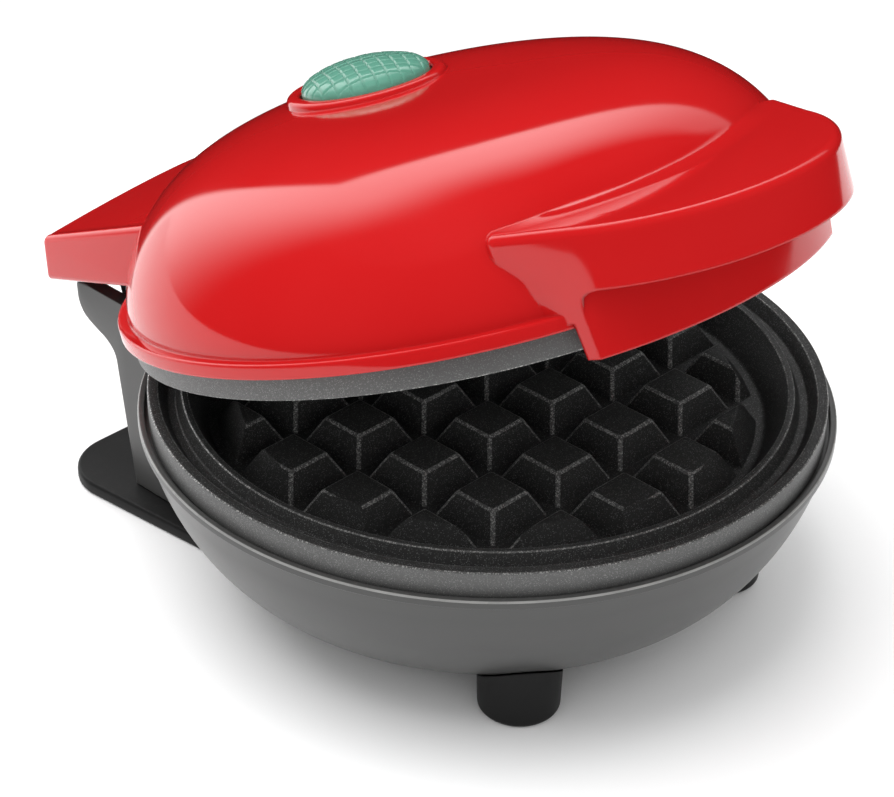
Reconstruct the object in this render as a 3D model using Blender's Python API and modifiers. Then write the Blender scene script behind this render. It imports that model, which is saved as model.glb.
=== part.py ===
"""Mini waffle maker: a round bowl-shaped base with a hinged dome lid, each holding a waffle plate.

Metres, +Z up. The origin lies on the surface that the object stands on, under the middle of the bowl.
The handle points to -Y and the hinge is at +Y. The lid stands open as far as OPEN_ANGLE says.
"""
import math

import bmesh
import bpy
from mathutils import Matrix, Vector

# Round sizes shared by base and lid
PLATE_RADIUS = 0.0616
LIP_STEP = 0.0019
LIP_RADIUS = PLATE_RADIUS + LIP_STEP
PIVOT_INSET = 0.0001
PIVOT_Y = PLATE_RADIUS - PIVOT_INSET
SEAT_GAP = 0.0003
SLIP_GAP = 0.0007
OVERRUN = 0.002
MERGE = 0.00001

RING_STEPS = 44
SMALL_STEPS = 14
SCREW_STEPS = 12

# Waffle plate, measured from its rim top
RIM_WIDTH = 0.0019
RIM_SLOPE = 0.0016
CHANNEL_WIDTH = 0.0016
CHANNEL_DEPTH = 0.0024
RIDGE_SLOPE = 0.0010
RIDGE_WIDTH = 0.0011
WELL_SLOPE = 0.0037
WELL_DEPTH = 0.0068
PLATE_WALL = 0.0022
BAND_HEIGHT = 0.0054
BAND_SHOWN = 0.0044
BAND_STEP = 0.0006

BLOCK_PITCH = 0.01633
BLOCK_TOP_SIZE = 0.00867
BLOCK_BASE_SIZE = 0.0138
BLOCK_DROP = 0.0018
BLOCK_FIELD_TOP_INSET = 0.0161
BLOCK_FIELD_TOP_RADIUS = PLATE_RADIUS - BLOCK_FIELD_TOP_INSET
BLOCK_FIELD_SPREAD = 0.0035
BLOCK_FIELD_BASE_RADIUS = BLOCK_FIELD_TOP_RADIUS + BLOCK_FIELD_SPREAD
BLOCKS_PER_HALF_ROW = 3

# Fixings
PLATE_BOSS_RADIUS = 0.0038
PLATE_BOSS_LENGTH = 0.0076
ELEMENT_INSET = 0.0256
ELEMENT_CIRCLE = PLATE_RADIUS - ELEMENT_INSET
PLATE_BOSS_STEP = 0.010
PLATE_BOSS_CIRCLE = ELEMENT_CIRCLE - PLATE_BOSS_STEP
PLATE_BOSS_ROOF = 0.0014
BOSS_ANGLES = (math.radians(90), math.radians(210), math.radians(330))
SCREW_RADIUS = 0.0016
SCREW_HOLE_RADIUS = 0.0019
SCREW_HEAD_RADIUS = 0.0029
SCREW_HEAD_HEIGHT = 0.0016
SCREW_HEAD_ROOM = 0.0004
SCREW_END_ROOM = 0.0008

# Heating element and heat shield
ELEMENT_RADIUS = 0.0032
ELEMENT_LEG_SPACING = 0.014
ELEMENT_BEND = 0.005
ELEMENT_LEG_REACH = 0.012
ELEMENT_LEG_END = ELEMENT_CIRCLE + ELEMENT_LEG_REACH
ELEMENT_PIN_RADIUS = 0.0013
ELEMENT_PIN_LENGTH = 0.0055
SHIELD_INSET = 0.0116
SHIELD_RADIUS = PLATE_RADIUS - SHIELD_INSET
SHIELD_THICKNESS = 0.0008
SHIELD_EDGE = 0.0018

# Bowl of the base
LIP_HEIGHT = 0.036
FLOOR_ROOM = 0.003
BOWL_INSET = 0.0005
BOWL_RADIUS = LIP_RADIUS - BOWL_INSET
BOWL_DEPTH = LIP_HEIGHT - FLOOR_ROOM
BOWL_DEPTH_POWER = 1.34
BOWL_ROUND_POWER = 5.2
BOWL_WALL = 0.0023
BOWL_FLAT_INSET = 0.030
BOWL_FLAT_RADIUS = BOWL_RADIUS - BOWL_FLAT_INSET
LIP_BEAD_HEIGHT = 0.0015
LIP_ROUND = 0.0003
LEDGE_WIDTH = 0.0033

# Cable tower with the two hinge cheeks
TOWER_HALF_WIDTH = 0.0333
TOWER_WALL = 0.003
TOWER_DEPTH = 0.0379
TOWER_FOOT_REACH = 0.0004
TOWER_WAIST_REACH = 0.0040
TOWER_FOOT_REAR = PIVOT_Y + TOWER_FOOT_REACH
TOWER_WAIST_REAR = TOWER_FOOT_REAR + TOWER_WAIST_REACH
TOWER_FRONT = TOWER_FOOT_REAR - TOWER_DEPTH
TOWER_WAIST_DROP = 0.0072
FLARE_REACH = 0.0109
FLARE_RISE = 0.0122
FLARE_SHARES = ((0.07, 0.15), (0.24, 0.28), (0.50, 0.38), (0.72, 0.47), (0.86, 0.57), (0.97, 0.75),
                (1.0, 1.0))
CHEEK_HEIGHT = 0.0063
CHEEK_ROUND = 0.0045
CHEEK_FRONT_REACH = 0.0044
BAY_DROP = 0.006
BAY_FLOOR = 0.0022
LEAD_WINDOW_WIDTH = 0.020
LEAD_WINDOW_HEIGHT = 0.011
LEAD_WINDOW_DROP = 0.024

# Hinge: where the lid turns, and how far it stands open
PIVOT_RISE = 0.0019
OPEN_ANGLE = math.radians(19.0)
CLOSED_GAP = 0.0003
PIN_RADIUS = 0.0018
PIN_CLEARANCE = 0.0002
PIN_HEAD_RADIUS = 0.0028
PIN_HEAD_LENGTH = 0.0010
ARM_EYE_RADIUS = 0.0037
ARM_THICKNESS = 0.0026
ARM_FOOT_WIDTH = 0.009
ARM_FOOT_THICKNESS = 0.002
ARM_FOOT_FRONT = 0.0075
ARM_SCREW_DEPTH = 0.0025

# Stand plate and feet
STAND_REAR_REACH = 0.0171
STAND_REAR = TOWER_FOOT_REAR + STAND_REAR_REACH
STAND_REAR_STEP = 0.0062
STAND_REAR_HALF_WIDTH = TOWER_HALF_WIDTH + STAND_REAR_STEP
STAND_REAR_CORNER = 0.011
STAND_TAPER_LENGTH = 0.039
STAND_TAPER_FRONT = STAND_REAR - STAND_TAPER_LENGTH
STAND_TAPER_STEP = 0.0037
STAND_TAPER_HALF_WIDTH = TOWER_HALF_WIDTH + STAND_TAPER_STEP
STAND_CORNER = 0.005
STAND_NARROW_Y = 0.008
STAND_NARROW_HALF_WIDTH = 0.027
STAND_FRONT = -0.0055
STAND_EDGE_ROUND = 0.0007
FOOT_X = 0.0276
FOOT_INSET = 0.0279
FOOT_Y = FOOT_INSET - BOWL_RADIUS
FOOT_RADIUS = 0.0079
FOOT_TIP_RADIUS = 0.0073
FOOT_EDGE_ROUND = 0.0012
FOOT_SPIGOT_RADIUS = 0.003
FOOT_BOSS_WALL = 0.0022
FOOT_SPIGOT_LENGTH = 0.009
STAND_SCREW_FRONT = (0.020, 0.012)
STAND_SCREW_INSET = 0.0119
STAND_SCREW_REAR = (0.024, TOWER_FOOT_REAR - STAND_SCREW_INSET)
STAND_SCREW_LENGTH = 0.0065
STAND_BOSS_RADIUS = 0.004
STAND_BOSS_HEIGHT = 0.0085

# Electrical pieces of the base
GLAND_RISE = 0.012
GLAND_BORE = 0.003
GLAND_NECK_RADIUS = 0.0048
GLAND_FLANGE_RADIUS = 0.0068
GLAND_FLANGE = 0.0015
THERMOSTAT_RADIUS = 0.0075
THERMOSTAT_HEIGHT = 0.0056
THERMOSTAT_TAG = (0.0045, 0.0032, 0.0006)
THERMOSTAT_TAG_DROP = 0.0035
FUSE_RADIUS = 0.002
FUSE_LENGTH = 0.011
FUSE_PLACE = (0, -0.016)
BLOCK_SIZE = (0.018, 0.010, 0.008)
BLOCK_INSET = 0.0239
BLOCK_Y = TOWER_FOOT_REAR - BLOCK_INSET
BLOCK_PAD_HEIGHT = 0.0052
BLOCK_SLOT = 0.0026
BLOCK_SLOT_DEPTH = 0.002
LEAD_RADIUS = 0.0009
LEAD_BEND = 0.0012
LEAD_BACK = 0.0022
LEAD_FALL = 0.0066
LEAD_LOW_INSET = 0.0141
LEAD_LOW_Y = TOWER_FOOT_REAR - LEAD_LOW_INSET
LEAD_LOW_DROP = 0.020
LEAD_HIGH_INSET = 0.0057
LEAD_HIGH_Y = TOWER_FOOT_REAR - LEAD_HIGH_INSET

# Lid shell, in the lid's own frame: height over the plane where the two plates meet
FLANGE_STEP = 0.00185
FLANGE_RADIUS = PLATE_RADIUS + FLANGE_STEP
FLANGE_WIDTH = 0.00205
DOME_RADIUS = FLANGE_RADIUS - FLANGE_WIDTH
DOME_START = 0.007
DOME_RISE = 0.0274
DOME_SIDE_POWER = 3.8
DOME_TOP_POWER = 1.7
SHELL_WALL = 0.0022
FLANGE_BOTTOM = 0.0044
FLANGE_ROUND = 0.0005
FLANGE_CLEARANCE = 0.0004

HANDLE_ARC_RADIUS = 0.0337
HANDLE_ARC_INSET = 0.0143
HANDLE_ARC_Y = HANDLE_ARC_INSET - PLATE_RADIUS
HANDLE_ARC_HALF_ANGLE = math.radians(70)
HANDLE_ARC_STEPS = 14
HANDLE_CORNER_X = 0.0363
HANDLE_CORNER_BACK = 0.0015
HANDLE_CORNER_Y = HANDLE_ARC_Y + HANDLE_CORNER_BACK
HANDLE_CORNER_RUN = 0.012
HANDLE_FOOT_SHARE = 0.94
HANDLE_TOP = 0.021
HANDLE_BRIM = 0.0108
HANDLE_TOP_ROUND = 0.0028
HANDLE_WALL = 0.0022
BRIM_STEP = 0.0006
SKIRT_STEP = 0.00235
SKIRT_RADIUS = FLANGE_RADIUS + SKIRT_STEP
SKIRT_CLEARANCE = 0.00075
SKIRT_DROP = 0.001
SKIRT_HALF_WIDTH = 0.0306

COVER_SIDE_STEP = 0.0041
COVER_HALF_WIDTH = TOWER_HALF_WIDTH + COVER_SIDE_STEP
COVER_BOTTOM = 0.0072
COVER_FRONT_INSET = 0.0195
COVER_FRONT = PIVOT_Y - COVER_FRONT_INSET
COVER_SIDE_TOP = 0.016
COVER_CROWN = 0.003
COVER_CROWN_POWER = 1.5
COVER_SLOPE_SHARE = 0.1
COVER_REAR_REACH = 0.0166
COVER_REAR = PIVOT_Y + COVER_REAR_REACH
COVER_REAR_LEAN = 0.0023
COVER_EDGE_ROUND = 0.0010
COVER_ROOF = 0.0138
COVER_STEPS = 6

LENS_INSET = 0.0446
LENS_Y = PIVOT_Y - LENS_INSET
LENS_RADIUS = 0.0118
LENS_CLEARANCE = 0.0003
LENS_RIM_RISE = 0.0010
LENS_RIM_HEIGHT = DOME_START + DOME_RISE + LENS_RIM_RISE
LENS_BULGE = 0.0039
LENS_FLANGE_RADIUS = 0.0132
LENS_FLANGE = 0.0014
LENS_WALL = 0.0016
BEZEL_RADIUS = 0.0147
BEZEL_FOOT_RADIUS = 0.0156
BEZEL_ROUND = 0.0006
SOCKET_WALL = 0.0016
SOCKET_DEPTH = 0.0035

POST_INSET = 0.0045
POST_CIRCLE = SHIELD_RADIUS - POST_INSET
POST_RADIUS = 0.0036
SHIELD_SCREW_DEPTH = 0.006
LAMP_RADIUS = 0.003
LAMP_LENGTH = 0.008
LAMP_HOLDER_RADIUS = 0.0055
LAMP_HOLDER_HEIGHT = 0.006

# Heights worked out from the sizes above
PLATE_BACK = WELL_DEPTH + PLATE_WALL
PLATE_BOSS_END = PLATE_BACK + PLATE_BOSS_LENGTH
ELEMENT_AXIS = PLATE_BACK + SEAT_GAP + ELEMENT_RADIUS
SHIELD_NEAR = PLATE_BOSS_END + SEAT_GAP
SHIELD_FAR = SHIELD_NEAR + SHIELD_THICKNESS
LOWER_RIM_Z = LIP_HEIGHT + BAND_SHOWN
LEDGE_Z = LOWER_RIM_Z - BAND_HEIGHT - SEAT_GAP
LOWER_BOSS_TOP_Z = LOWER_RIM_Z - SHIELD_FAR - SEAT_GAP
BOWL_BOTTOM_Z = LIP_HEIGHT - BOWL_DEPTH
BOWL_FLOOR_Z = BOWL_BOTTOM_Z + BOWL_WALL
STAND_TOP_Z = BOWL_BOTTOM_Z - SEAT_GAP
BAY_Z = LIP_HEIGHT - BAY_DROP
PIVOT_Z = LIP_HEIGHT + PIVOT_RISE
CLOSED_PLANE_Z = LOWER_RIM_Z + CLOSED_GAP
LID_PIVOT_W = PIVOT_Z - CLOSED_PLANE_Z
CHEEK_INNER = TOWER_HALF_WIDTH - TOWER_WALL
ARM_OUTER = CHEEK_INNER - SEAT_GAP
ARM_INNER = ARM_OUTER - ARM_THICKNESS
ARM_TOP = COVER_ROOF - SEAT_GAP
ARM_SCREW_SPOT = (ARM_OUTER - ARM_FOOT_WIDTH / 2 - SCREW_RADIUS, PIVOT_Y - SCREW_RADIUS)
COVER_SIDE_INNER = COVER_HALF_WIDTH - SHELL_WALL
LOWER_SCREW_SEAT_Z = BOWL_FLOOR_Z + SCREW_HEAD_HEIGHT + SCREW_HEAD_ROOM
FOOT_SPIGOT_TOP_Z = BOWL_FLOOR_Z + FOOT_SPIGOT_LENGTH
LENS_SEAT_W = LENS_RIM_HEIGHT - SOCKET_WALL
INNER_HOLLOW_HALF = math.asin((SKIRT_HALF_WIDTH - HANDLE_WALL) / (SKIRT_RADIUS - HANDLE_WALL))

RED = ("glossy red plastic", (0.68, 0.015, 0.02, 1.0), 0.12, 0.0)
DARK_GREY = ("satin grey-black plastic", (0.045, 0.045, 0.045, 1.0), 0.38, 0.0)
BLACK = ("gloss black plastic", (0.012, 0.012, 0.012, 1.0), 0.22, 0.0)
COATED = ("speckled non-stick coating", (0.04, 0.04, 0.042, 1.0), 0.45, 0.3)
STEEL = ("zinc-plated steel", (0.60, 0.60, 0.58, 1.0), 0.35, 1.0)
DULL_STEEL = ("dull steel sheath", (0.32, 0.31, 0.29, 1.0), 0.5, 1.0)
SHEET = ("bright aluminium sheet", (0.78, 0.78, 0.78, 1.0), 0.3, 1.0)
MINT = ("translucent mint plastic", (0.30, 0.62, 0.50, 1.0), 0.1, 0.0)
GLASS = ("lamp glass", (0.9, 0.75, 0.6, 1.0), 0.05, 0.0)
CERAMIC = ("off-white ceramic", (0.75, 0.72, 0.65, 1.0), 0.55, 0.0)
SLEEVE = ("heat-proof sleeving", (0.7, 0.68, 0.6, 1.0), 0.7, 0.0)
RUBBER = ("black rubber", (0.02, 0.02, 0.02, 1.0), 0.8, 0.0)


def clear_scene():
    """Remove whatever the scene holds."""
    for item in list(bpy.data.objects):
        bpy.data.objects.remove(item, do_unlink=True)


def make_collection(name):
    """Return a new collection linked to the scene."""
    group = bpy.data.collections.new(name)
    bpy.context.scene.collection.children.link(group)
    return group


def finish(look):
    """Return the material for a (name, colour, roughness, metallic) look."""
    name, colour, roughness, metallic = look
    found = bpy.data.materials.get(name)
    if found:
        return found
    made = bpy.data.materials.new(name)
    made.use_nodes = True
    shader = made.node_tree.nodes["Principled BSDF"]
    shader.inputs["Base Color"].default_value = colour
    shader.inputs["Roughness"].default_value = roughness
    shader.inputs["Metallic"].default_value = metallic
    return made


def new_object(name, bm, place=(0, 0, 0)):
    """Turn a bmesh into an object of the cutter collection."""
    mesh = bpy.data.meshes.new(name)
    bmesh.ops.recalc_face_normals(bm, faces=bm.faces)
    bm.to_mesh(mesh)
    bm.free()
    item = bpy.data.objects.new(name, mesh)
    item.location = place
    item.hide_render = True
    item.display_type = "WIRE"
    CUTTERS.objects.link(item)
    return item


def as_part(item, look):
    """Move an object from the cutters to the parts and give it its material."""
    CUTTERS.objects.unlink(item)
    PARTS.objects.link(item)
    item.hide_render = False
    item.display_type = "TEXTURED"
    item.data.materials.append(finish(look))
    item.data.shade_smooth()
    item.data.set_sharp_from_angle(angle=math.radians(35))
    return item


def carried(item, parent):
    """Parent an object, keeping its place as one in the parent's frame."""
    item.parent = parent
    return item


def combine(item, other, operation):
    """Add a Boolean with another object to an object."""
    step = item.modifiers.new(operation.lower(), "BOOLEAN")
    step.operation = operation
    step.solver = "EXACT"
    step.object = other
    return item


def cut(item, *others):
    for other in others:
        combine(item, other, "DIFFERENCE")
    return item


def join(item, *others):
    for other in others:
        combine(item, other, "UNION")
    return item


def rounded(item, width, limit=math.radians(40)):
    """Round the sharp edges of an object."""
    step = item.modifiers.new("round", "BEVEL")
    step.width = width
    step.segments = 2
    step.limit_method = "ANGLE"
    step.angle_limit = limit
    return item


def turned(name, profile, steps=RING_STEPS, place=(0, 0, 0), ring=False):
    """Turn (radius, height) points about Z. A ring's profile closes on itself."""
    bm = bmesh.new()
    points = [bm.verts.new((radius, 0, height)) for radius, height in profile]
    for first, second in zip(points, points[1:]):
        bm.edges.new((first, second))
    if ring:
        bm.edges.new((points[-1], points[0]))
    item = new_object(name, bm, place)
    screw = item.modifiers.new("turn", "SCREW")
    screw.steps = steps
    screw.render_steps = steps
    screw.use_merge_vertices = True
    screw.merge_threshold = MERGE
    return item


def prism(name, outline, low, high, axis="Z", place=(0, 0, 0), shape=None):
    """Extrude an outline along an axis; shape, if given, moves each vertex.

    An outline along X holds (y, z) points, one along Y holds (x, z) points and one along Z (x, y) points.
    """
    spread = {
        "X": lambda a, b, c: Vector((c, a, b)),
        "Y": lambda a, b, c: Vector((a, c, b)),
        "Z": lambda a, b, c: Vector((a, b, c)),
    }[axis]
    bm = bmesh.new()
    face = bm.faces.new([bm.verts.new(spread(a, b, low)) for a, b in outline])
    grown = bmesh.ops.extrude_face_region(bm, geom=[face])["geom"]
    moved = [part for part in grown if isinstance(part, bmesh.types.BMVert)]
    bmesh.ops.translate(bm, verts=moved, vec=spread(0, 0, high - low))
    if shape:
        for vert in bm.verts:
            vert.co = shape(vert.co)
    return new_object(name, bm, place)


def box(name, low, high):
    """Make a box between two corners."""
    low, high = Vector(low), Vector(high)
    bm = bmesh.new()
    size = Matrix.Diagonal((*(high - low), 1))
    bmesh.ops.create_cube(bm, size=1, matrix=Matrix.Translation((low + high) / 2) @ size)
    return new_object(name, bm)


def cylinder(name, radius, low, high, centre=(0, 0), axis="Z", steps=SCREW_STEPS):
    """Make a cylinder between two heights along an axis, at a centre in the other two."""
    turn = {
        "X": Matrix.Translation(((low + high) / 2, *centre)) @ Matrix.Rotation(math.pi / 2, 4, "Y"),
        "Z": Matrix.Translation((*centre, (low + high) / 2)),
    }[axis]
    bm = bmesh.new()
    bmesh.ops.create_cone(bm, cap_ends=True, segments=steps, radius1=radius, radius2=radius,
                          depth=high - low, matrix=turn)
    return new_object(name, bm)


def tube(name, points, radius, thin_ends=0, thin_radius=0):
    """Sweep a round tube along points; its last few points at each end can be thinner."""
    curve = bpy.data.curves.new(name, "CURVE")
    curve.dimensions = "3D"
    curve.bevel_depth = radius
    curve.bevel_resolution = 2
    curve.use_fill_caps = True
    line = curve.splines.new("POLY")
    line.points.add(len(points) - 1)
    for index, (spot, point) in enumerate(zip(line.points, points)):
        spot.co = (*point, 1)
        from_end = min(index, len(points) - 1 - index)
        spot.radius = thin_radius / radius if from_end < thin_ends else 1
    swept = bpy.data.objects.new(name + "_sweep", curve)
    CUTTERS.objects.link(swept)
    shot = swept.evaluated_get(bpy.context.evaluated_depsgraph_get())
    mesh = bpy.data.meshes.new_from_object(shot)
    bm = bmesh.new()
    bm.from_mesh(mesh)
    bmesh.ops.remove_doubles(bm, verts=bm.verts, dist=MERGE)
    item = new_object(name, bm)
    bpy.data.objects.remove(swept, do_unlink=True)
    bpy.data.meshes.remove(mesh)
    return item


def rounded_route(corners, radius, steps=4):
    """Return the points of a route whose inner corners are rounded."""
    corners = [Vector(corner) for corner in corners]
    route = [corners[0]]
    for before, corner, after in zip(corners, corners[1:], corners[2:]):
        back = (before - corner).normalized()
        ahead = (after - corner).normalized()
        half = back.angle(ahead) / 2
        reach = radius / math.tan(half)
        centre = corner + (back + ahead).normalized() * radius / math.sin(half)
        start = (corner + back * reach - centre).normalized()
        end = (corner + ahead * reach - centre).normalized()
        for step in range(steps + 1):
            route.append(centre + start.slerp(end, step / steps) * radius)
    route.append(corners[-1])
    return route


def ring_places(circle, angles):
    return [(circle * math.cos(angle), circle * math.sin(angle)) for angle in angles]


def bowl_curve(radius, depth, angles):
    """Points of the bowl's side, below the lip, from a swept angle in degrees."""
    points = []
    for angle in angles:
        swing = math.radians(angle)
        along = math.cos(swing) ** (2 / BOWL_ROUND_POWER)
        down = math.sin(swing) ** (2 / BOWL_DEPTH_POWER)
        points.append((radius * along, LIP_HEIGHT - depth * down))
    return points


def dome_point(radius, rise, angle):
    """A point of the dome from a swept angle in degrees: 0 at the top, 90 at the side."""
    swing = math.radians(angle)
    across = math.sin(swing) ** (2 / DOME_SIDE_POWER)
    up = max(math.cos(swing), 0) ** (2 / DOME_TOP_POWER)
    return radius * across, DOME_START + rise * up


def dome_height(radius):
    """Height of the dome's inner face at a radius."""
    reach = DOME_RADIUS - SHELL_WALL
    share = 1 - (radius / reach) ** DOME_SIDE_POWER
    return DOME_START + (DOME_RISE - SHELL_WALL) * share ** (1 / DOME_TOP_POWER)


def make_screw(name, length, place, head_down=True):
    """A pan-head screw whose seat, under its head, is at the origin and whose shank points away."""
    head = SCREW_HEAD_HEIGHT
    profile = [(0, length), (SCREW_RADIUS, length), (SCREW_RADIUS, 0), (SCREW_HEAD_RADIUS, 0),
               (SCREW_HEAD_RADIUS, -head), (0, -head)]
    item = turned(name, profile, SCREW_STEPS, place)
    if not head_down:
        item.rotation_euler.x = math.pi
    return as_part(item, STEEL)


def make_plate(name):
    """A waffle plate with its rim top at its origin and its cooking side up."""
    ridge_outer = PLATE_RADIUS - RIM_WIDTH - RIM_SLOPE - CHANNEL_WIDTH - RIDGE_SLOPE
    ridge_inner = ridge_outer - RIDGE_WIDTH
    well_radius = ridge_inner - WELL_SLOPE
    back_step = PLATE_RADIUS - PLATE_WALL
    back_turn = ridge_inner + PLATE_WALL
    profile = [
        (0, -WELL_DEPTH),
        (well_radius, -WELL_DEPTH),
        (ridge_inner, 0),
        (ridge_outer, 0),
        (ridge_outer + RIDGE_SLOPE, -CHANNEL_DEPTH),
        (PLATE_RADIUS - RIM_WIDTH - RIM_SLOPE, -CHANNEL_DEPTH),
        (PLATE_RADIUS - RIM_WIDTH, 0),
        (PLATE_RADIUS, 0),
        (PLATE_RADIUS, -BAND_HEIGHT),
        (back_step, -BAND_HEIGHT),
        (back_step, -BAND_HEIGHT + BAND_STEP),
        (back_turn, -BAND_HEIGHT + BAND_STEP),
        (well_radius + PLATE_WALL, -PLATE_BACK),
        (0, -PLATE_BACK),
    ]
    plate = turned(name, profile)
    blocks = carried(make_blocks(name + "_blocks"), plate)
    field_height = WELL_DEPTH - BLOCK_DROP
    field = carried(turned(name + "_field", [
        (0, -BLOCK_DROP + OVERRUN),
        (BLOCK_FIELD_TOP_RADIUS, -BLOCK_DROP + OVERRUN),
        (BLOCK_FIELD_TOP_RADIUS, -BLOCK_DROP),
        (BLOCK_FIELD_BASE_RADIUS, -BLOCK_DROP - field_height),
        (BLOCK_FIELD_BASE_RADIUS, -PLATE_BACK),
        (0, -PLATE_BACK),
    ]), plate)
    combine(blocks, field, "INTERSECT")
    join(plate, blocks)
    for index, spot in enumerate(ring_places(PLATE_BOSS_CIRCLE, BOSS_ANGLES)):
        boss = cylinder(f"{name}_boss_{index}", PLATE_BOSS_RADIUS, -PLATE_BOSS_END,
                        -PLATE_BACK + PLATE_WALL / 2, spot, steps=SMALL_STEPS)
        hole = cylinder(f"{name}_hole_{index}", SCREW_HOLE_RADIUS, -PLATE_BOSS_END - OVERRUN,
                        -WELL_DEPTH - PLATE_BOSS_ROOF, spot)
        join(plate, carried(boss, plate))
        cut(plate, carried(hole, plate))
    return as_part(plate, COATED)


def make_blocks(name):
    """The grid of square blocks, sunk a little into the plate's floor."""
    sink = PLATE_WALL / 2
    height = WELL_DEPTH - BLOCK_DROP
    widening = (BLOCK_BASE_SIZE - BLOCK_TOP_SIZE) / height
    foot_size = BLOCK_BASE_SIZE + widening * sink
    to_corner = math.sqrt(0.5)
    bm = bmesh.new()
    count = BLOCKS_PER_HALF_ROW
    for column in range(-count, count):
        for row in range(-count, count):
            x = (column + 0.5) * BLOCK_PITCH
            y = (row + 0.5) * BLOCK_PITCH
            near_side = math.hypot(abs(x) - BLOCK_TOP_SIZE / 2, abs(y) - BLOCK_TOP_SIZE / 2)
            if near_side > BLOCK_FIELD_TOP_RADIUS:
                continue
            middle = (x, y, -BLOCK_DROP - (height + sink) / 2)
            place = Matrix.Translation(middle) @ Matrix.Rotation(math.pi / 4, 4, "Z")
            bmesh.ops.create_cone(bm, cap_ends=True, segments=4, radius1=foot_size * to_corner,
                                  radius2=BLOCK_TOP_SIZE * to_corner, depth=height + sink, matrix=place)
    return new_object(name, bm)


def element_route():
    """The element's way: in along one leg, round the plate and out along the other leg."""
    leg_x = ELEMENT_LEG_SPACING / 2
    bend_x = leg_x + ELEMENT_BEND
    bend_y = math.sqrt((ELEMENT_CIRCLE + ELEMENT_BEND) ** 2 - bend_x ** 2)
    meet = math.atan2(bend_y, bend_x)
    half = [(leg_x, ELEMENT_LEG_END + ELEMENT_PIN_LENGTH), (leg_x, ELEMENT_LEG_END + MERGE),
            (leg_x, ELEMENT_LEG_END)]
    bend_steps, ring_steps = 4, 12
    for step in range(bend_steps + 1):
        angle = math.pi + meet * step / bend_steps
        half.append((bend_x + ELEMENT_BEND * math.cos(angle), bend_y + ELEMENT_BEND * math.sin(angle)))
    for step in range(1, ring_steps + 1):
        angle = meet - (meet + math.pi / 2) * step / ring_steps
        half.append((ELEMENT_CIRCLE * math.cos(angle), ELEMENT_CIRCLE * math.sin(angle)))
    return half + [(-x, y) for x, y in reversed(half[:-1])]


def make_element(name, depth):
    """A tubular heating element lying at a depth behind the plate's rim plane."""
    route = [(x, y, depth) for x, y in element_route()]
    return as_part(tube(name, route, ELEMENT_RADIUS, 2, ELEMENT_PIN_RADIUS), DULL_STEEL)


def make_shield(name, near, far, holes):
    """A thin dish with an edge turned towards the plate, and screw holes."""
    way = 1 if near > far else -1
    profile = [
        (0, near),
        (SHIELD_RADIUS - SHIELD_THICKNESS, near),
        (SHIELD_RADIUS - SHIELD_THICKNESS, near + way * SHIELD_EDGE),
        (SHIELD_RADIUS, near + way * SHIELD_EDGE),
        (SHIELD_RADIUS, far),
        (0, far),
    ]
    shield = turned(name, profile if way > 0 else list(reversed(profile)))
    for index, spot in enumerate(holes):
        cut(shield, carried(cylinder(f"{name}_hole_{index}", SCREW_HOLE_RADIUS, min(near, far) - OVERRUN,
                                     max(near, far) + OVERRUN, spot), shield))
    return as_part(shield, SHEET)


def tower_outline():
    """Side view of the cable tower and cheeks as (y, z) points, from the front foot round the rear."""
    waist_z = LIP_HEIGHT - TOWER_WAIST_DROP
    rear = [(TOWER_WAIST_REAR + FLARE_REACH * out, waist_z + FLARE_RISE * up) for out, up in FLARE_SHARES]
    top_z = LIP_HEIGHT + CHEEK_HEIGHT
    front_y = PIVOT_Y - CHEEK_FRONT_REACH
    edge_y = TOWER_WAIST_REAR + FLARE_REACH
    corner = math.radians(45)
    return [
        (TOWER_FRONT, BOWL_BOTTOM_Z),
        (TOWER_FOOT_REAR, BOWL_BOTTOM_Z),
        (TOWER_WAIST_REAR, waist_z),
        *rear,
        (edge_y - LIP_BEAD_HEIGHT, top_z),
        (front_y + CHEEK_ROUND, top_z),
        (front_y + CHEEK_ROUND * (1 - math.sin(corner)), top_z - CHEEK_ROUND * (1 - math.cos(corner))),
        (front_y, top_z - CHEEK_ROUND),
        (front_y, LIP_HEIGHT - LIP_BEAD_HEIGHT),
        (TOWER_FRONT, LIP_HEIGHT - BAY_DROP),
    ]


def tower_lean():
    """Angle of the tower's rear wall from upright."""
    rise = BOWL_DEPTH - TOWER_WAIST_DROP
    return math.atan2(TOWER_WAIST_REAR - TOWER_FOOT_REAR, rise)


def tower_rear_y(z):
    """Where the tower's rear face is, below its waist."""
    return TOWER_FOOT_REAR + (z - BOWL_BOTTOM_Z) * math.tan(tower_lean())


def make_tower():
    """The tower block with its hinge bay between the cheeks and its hollow for the cord."""
    tower = prism("tower_block", tower_outline(), -TOWER_HALF_WIDTH, TOWER_HALF_WIDTH, axis="X")
    rear_end = TOWER_WAIST_REAR + FLARE_REACH + OVERRUN
    bay = box("tower_bay", (-CHEEK_INNER, TOWER_FRONT - OVERRUN, BAY_Z),
              (CHEEK_INNER, rear_end, LIP_HEIGHT + CHEEK_HEIGHT + OVERRUN))
    roof = BAY_Z - BAY_FLOOR
    below = BOWL_BOTTOM_Z - OVERRUN
    hollow = prism("tower_hollow", [
        (TOWER_FRONT + TOWER_WALL, below),
        (tower_rear_y(below) - TOWER_WALL, below),
        (tower_rear_y(roof) - TOWER_WALL, roof),
        (TOWER_FRONT + TOWER_WALL, roof),
    ], -CHEEK_INNER, CHEEK_INNER, axis="X")
    return cut(tower, bay, hollow)


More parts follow.
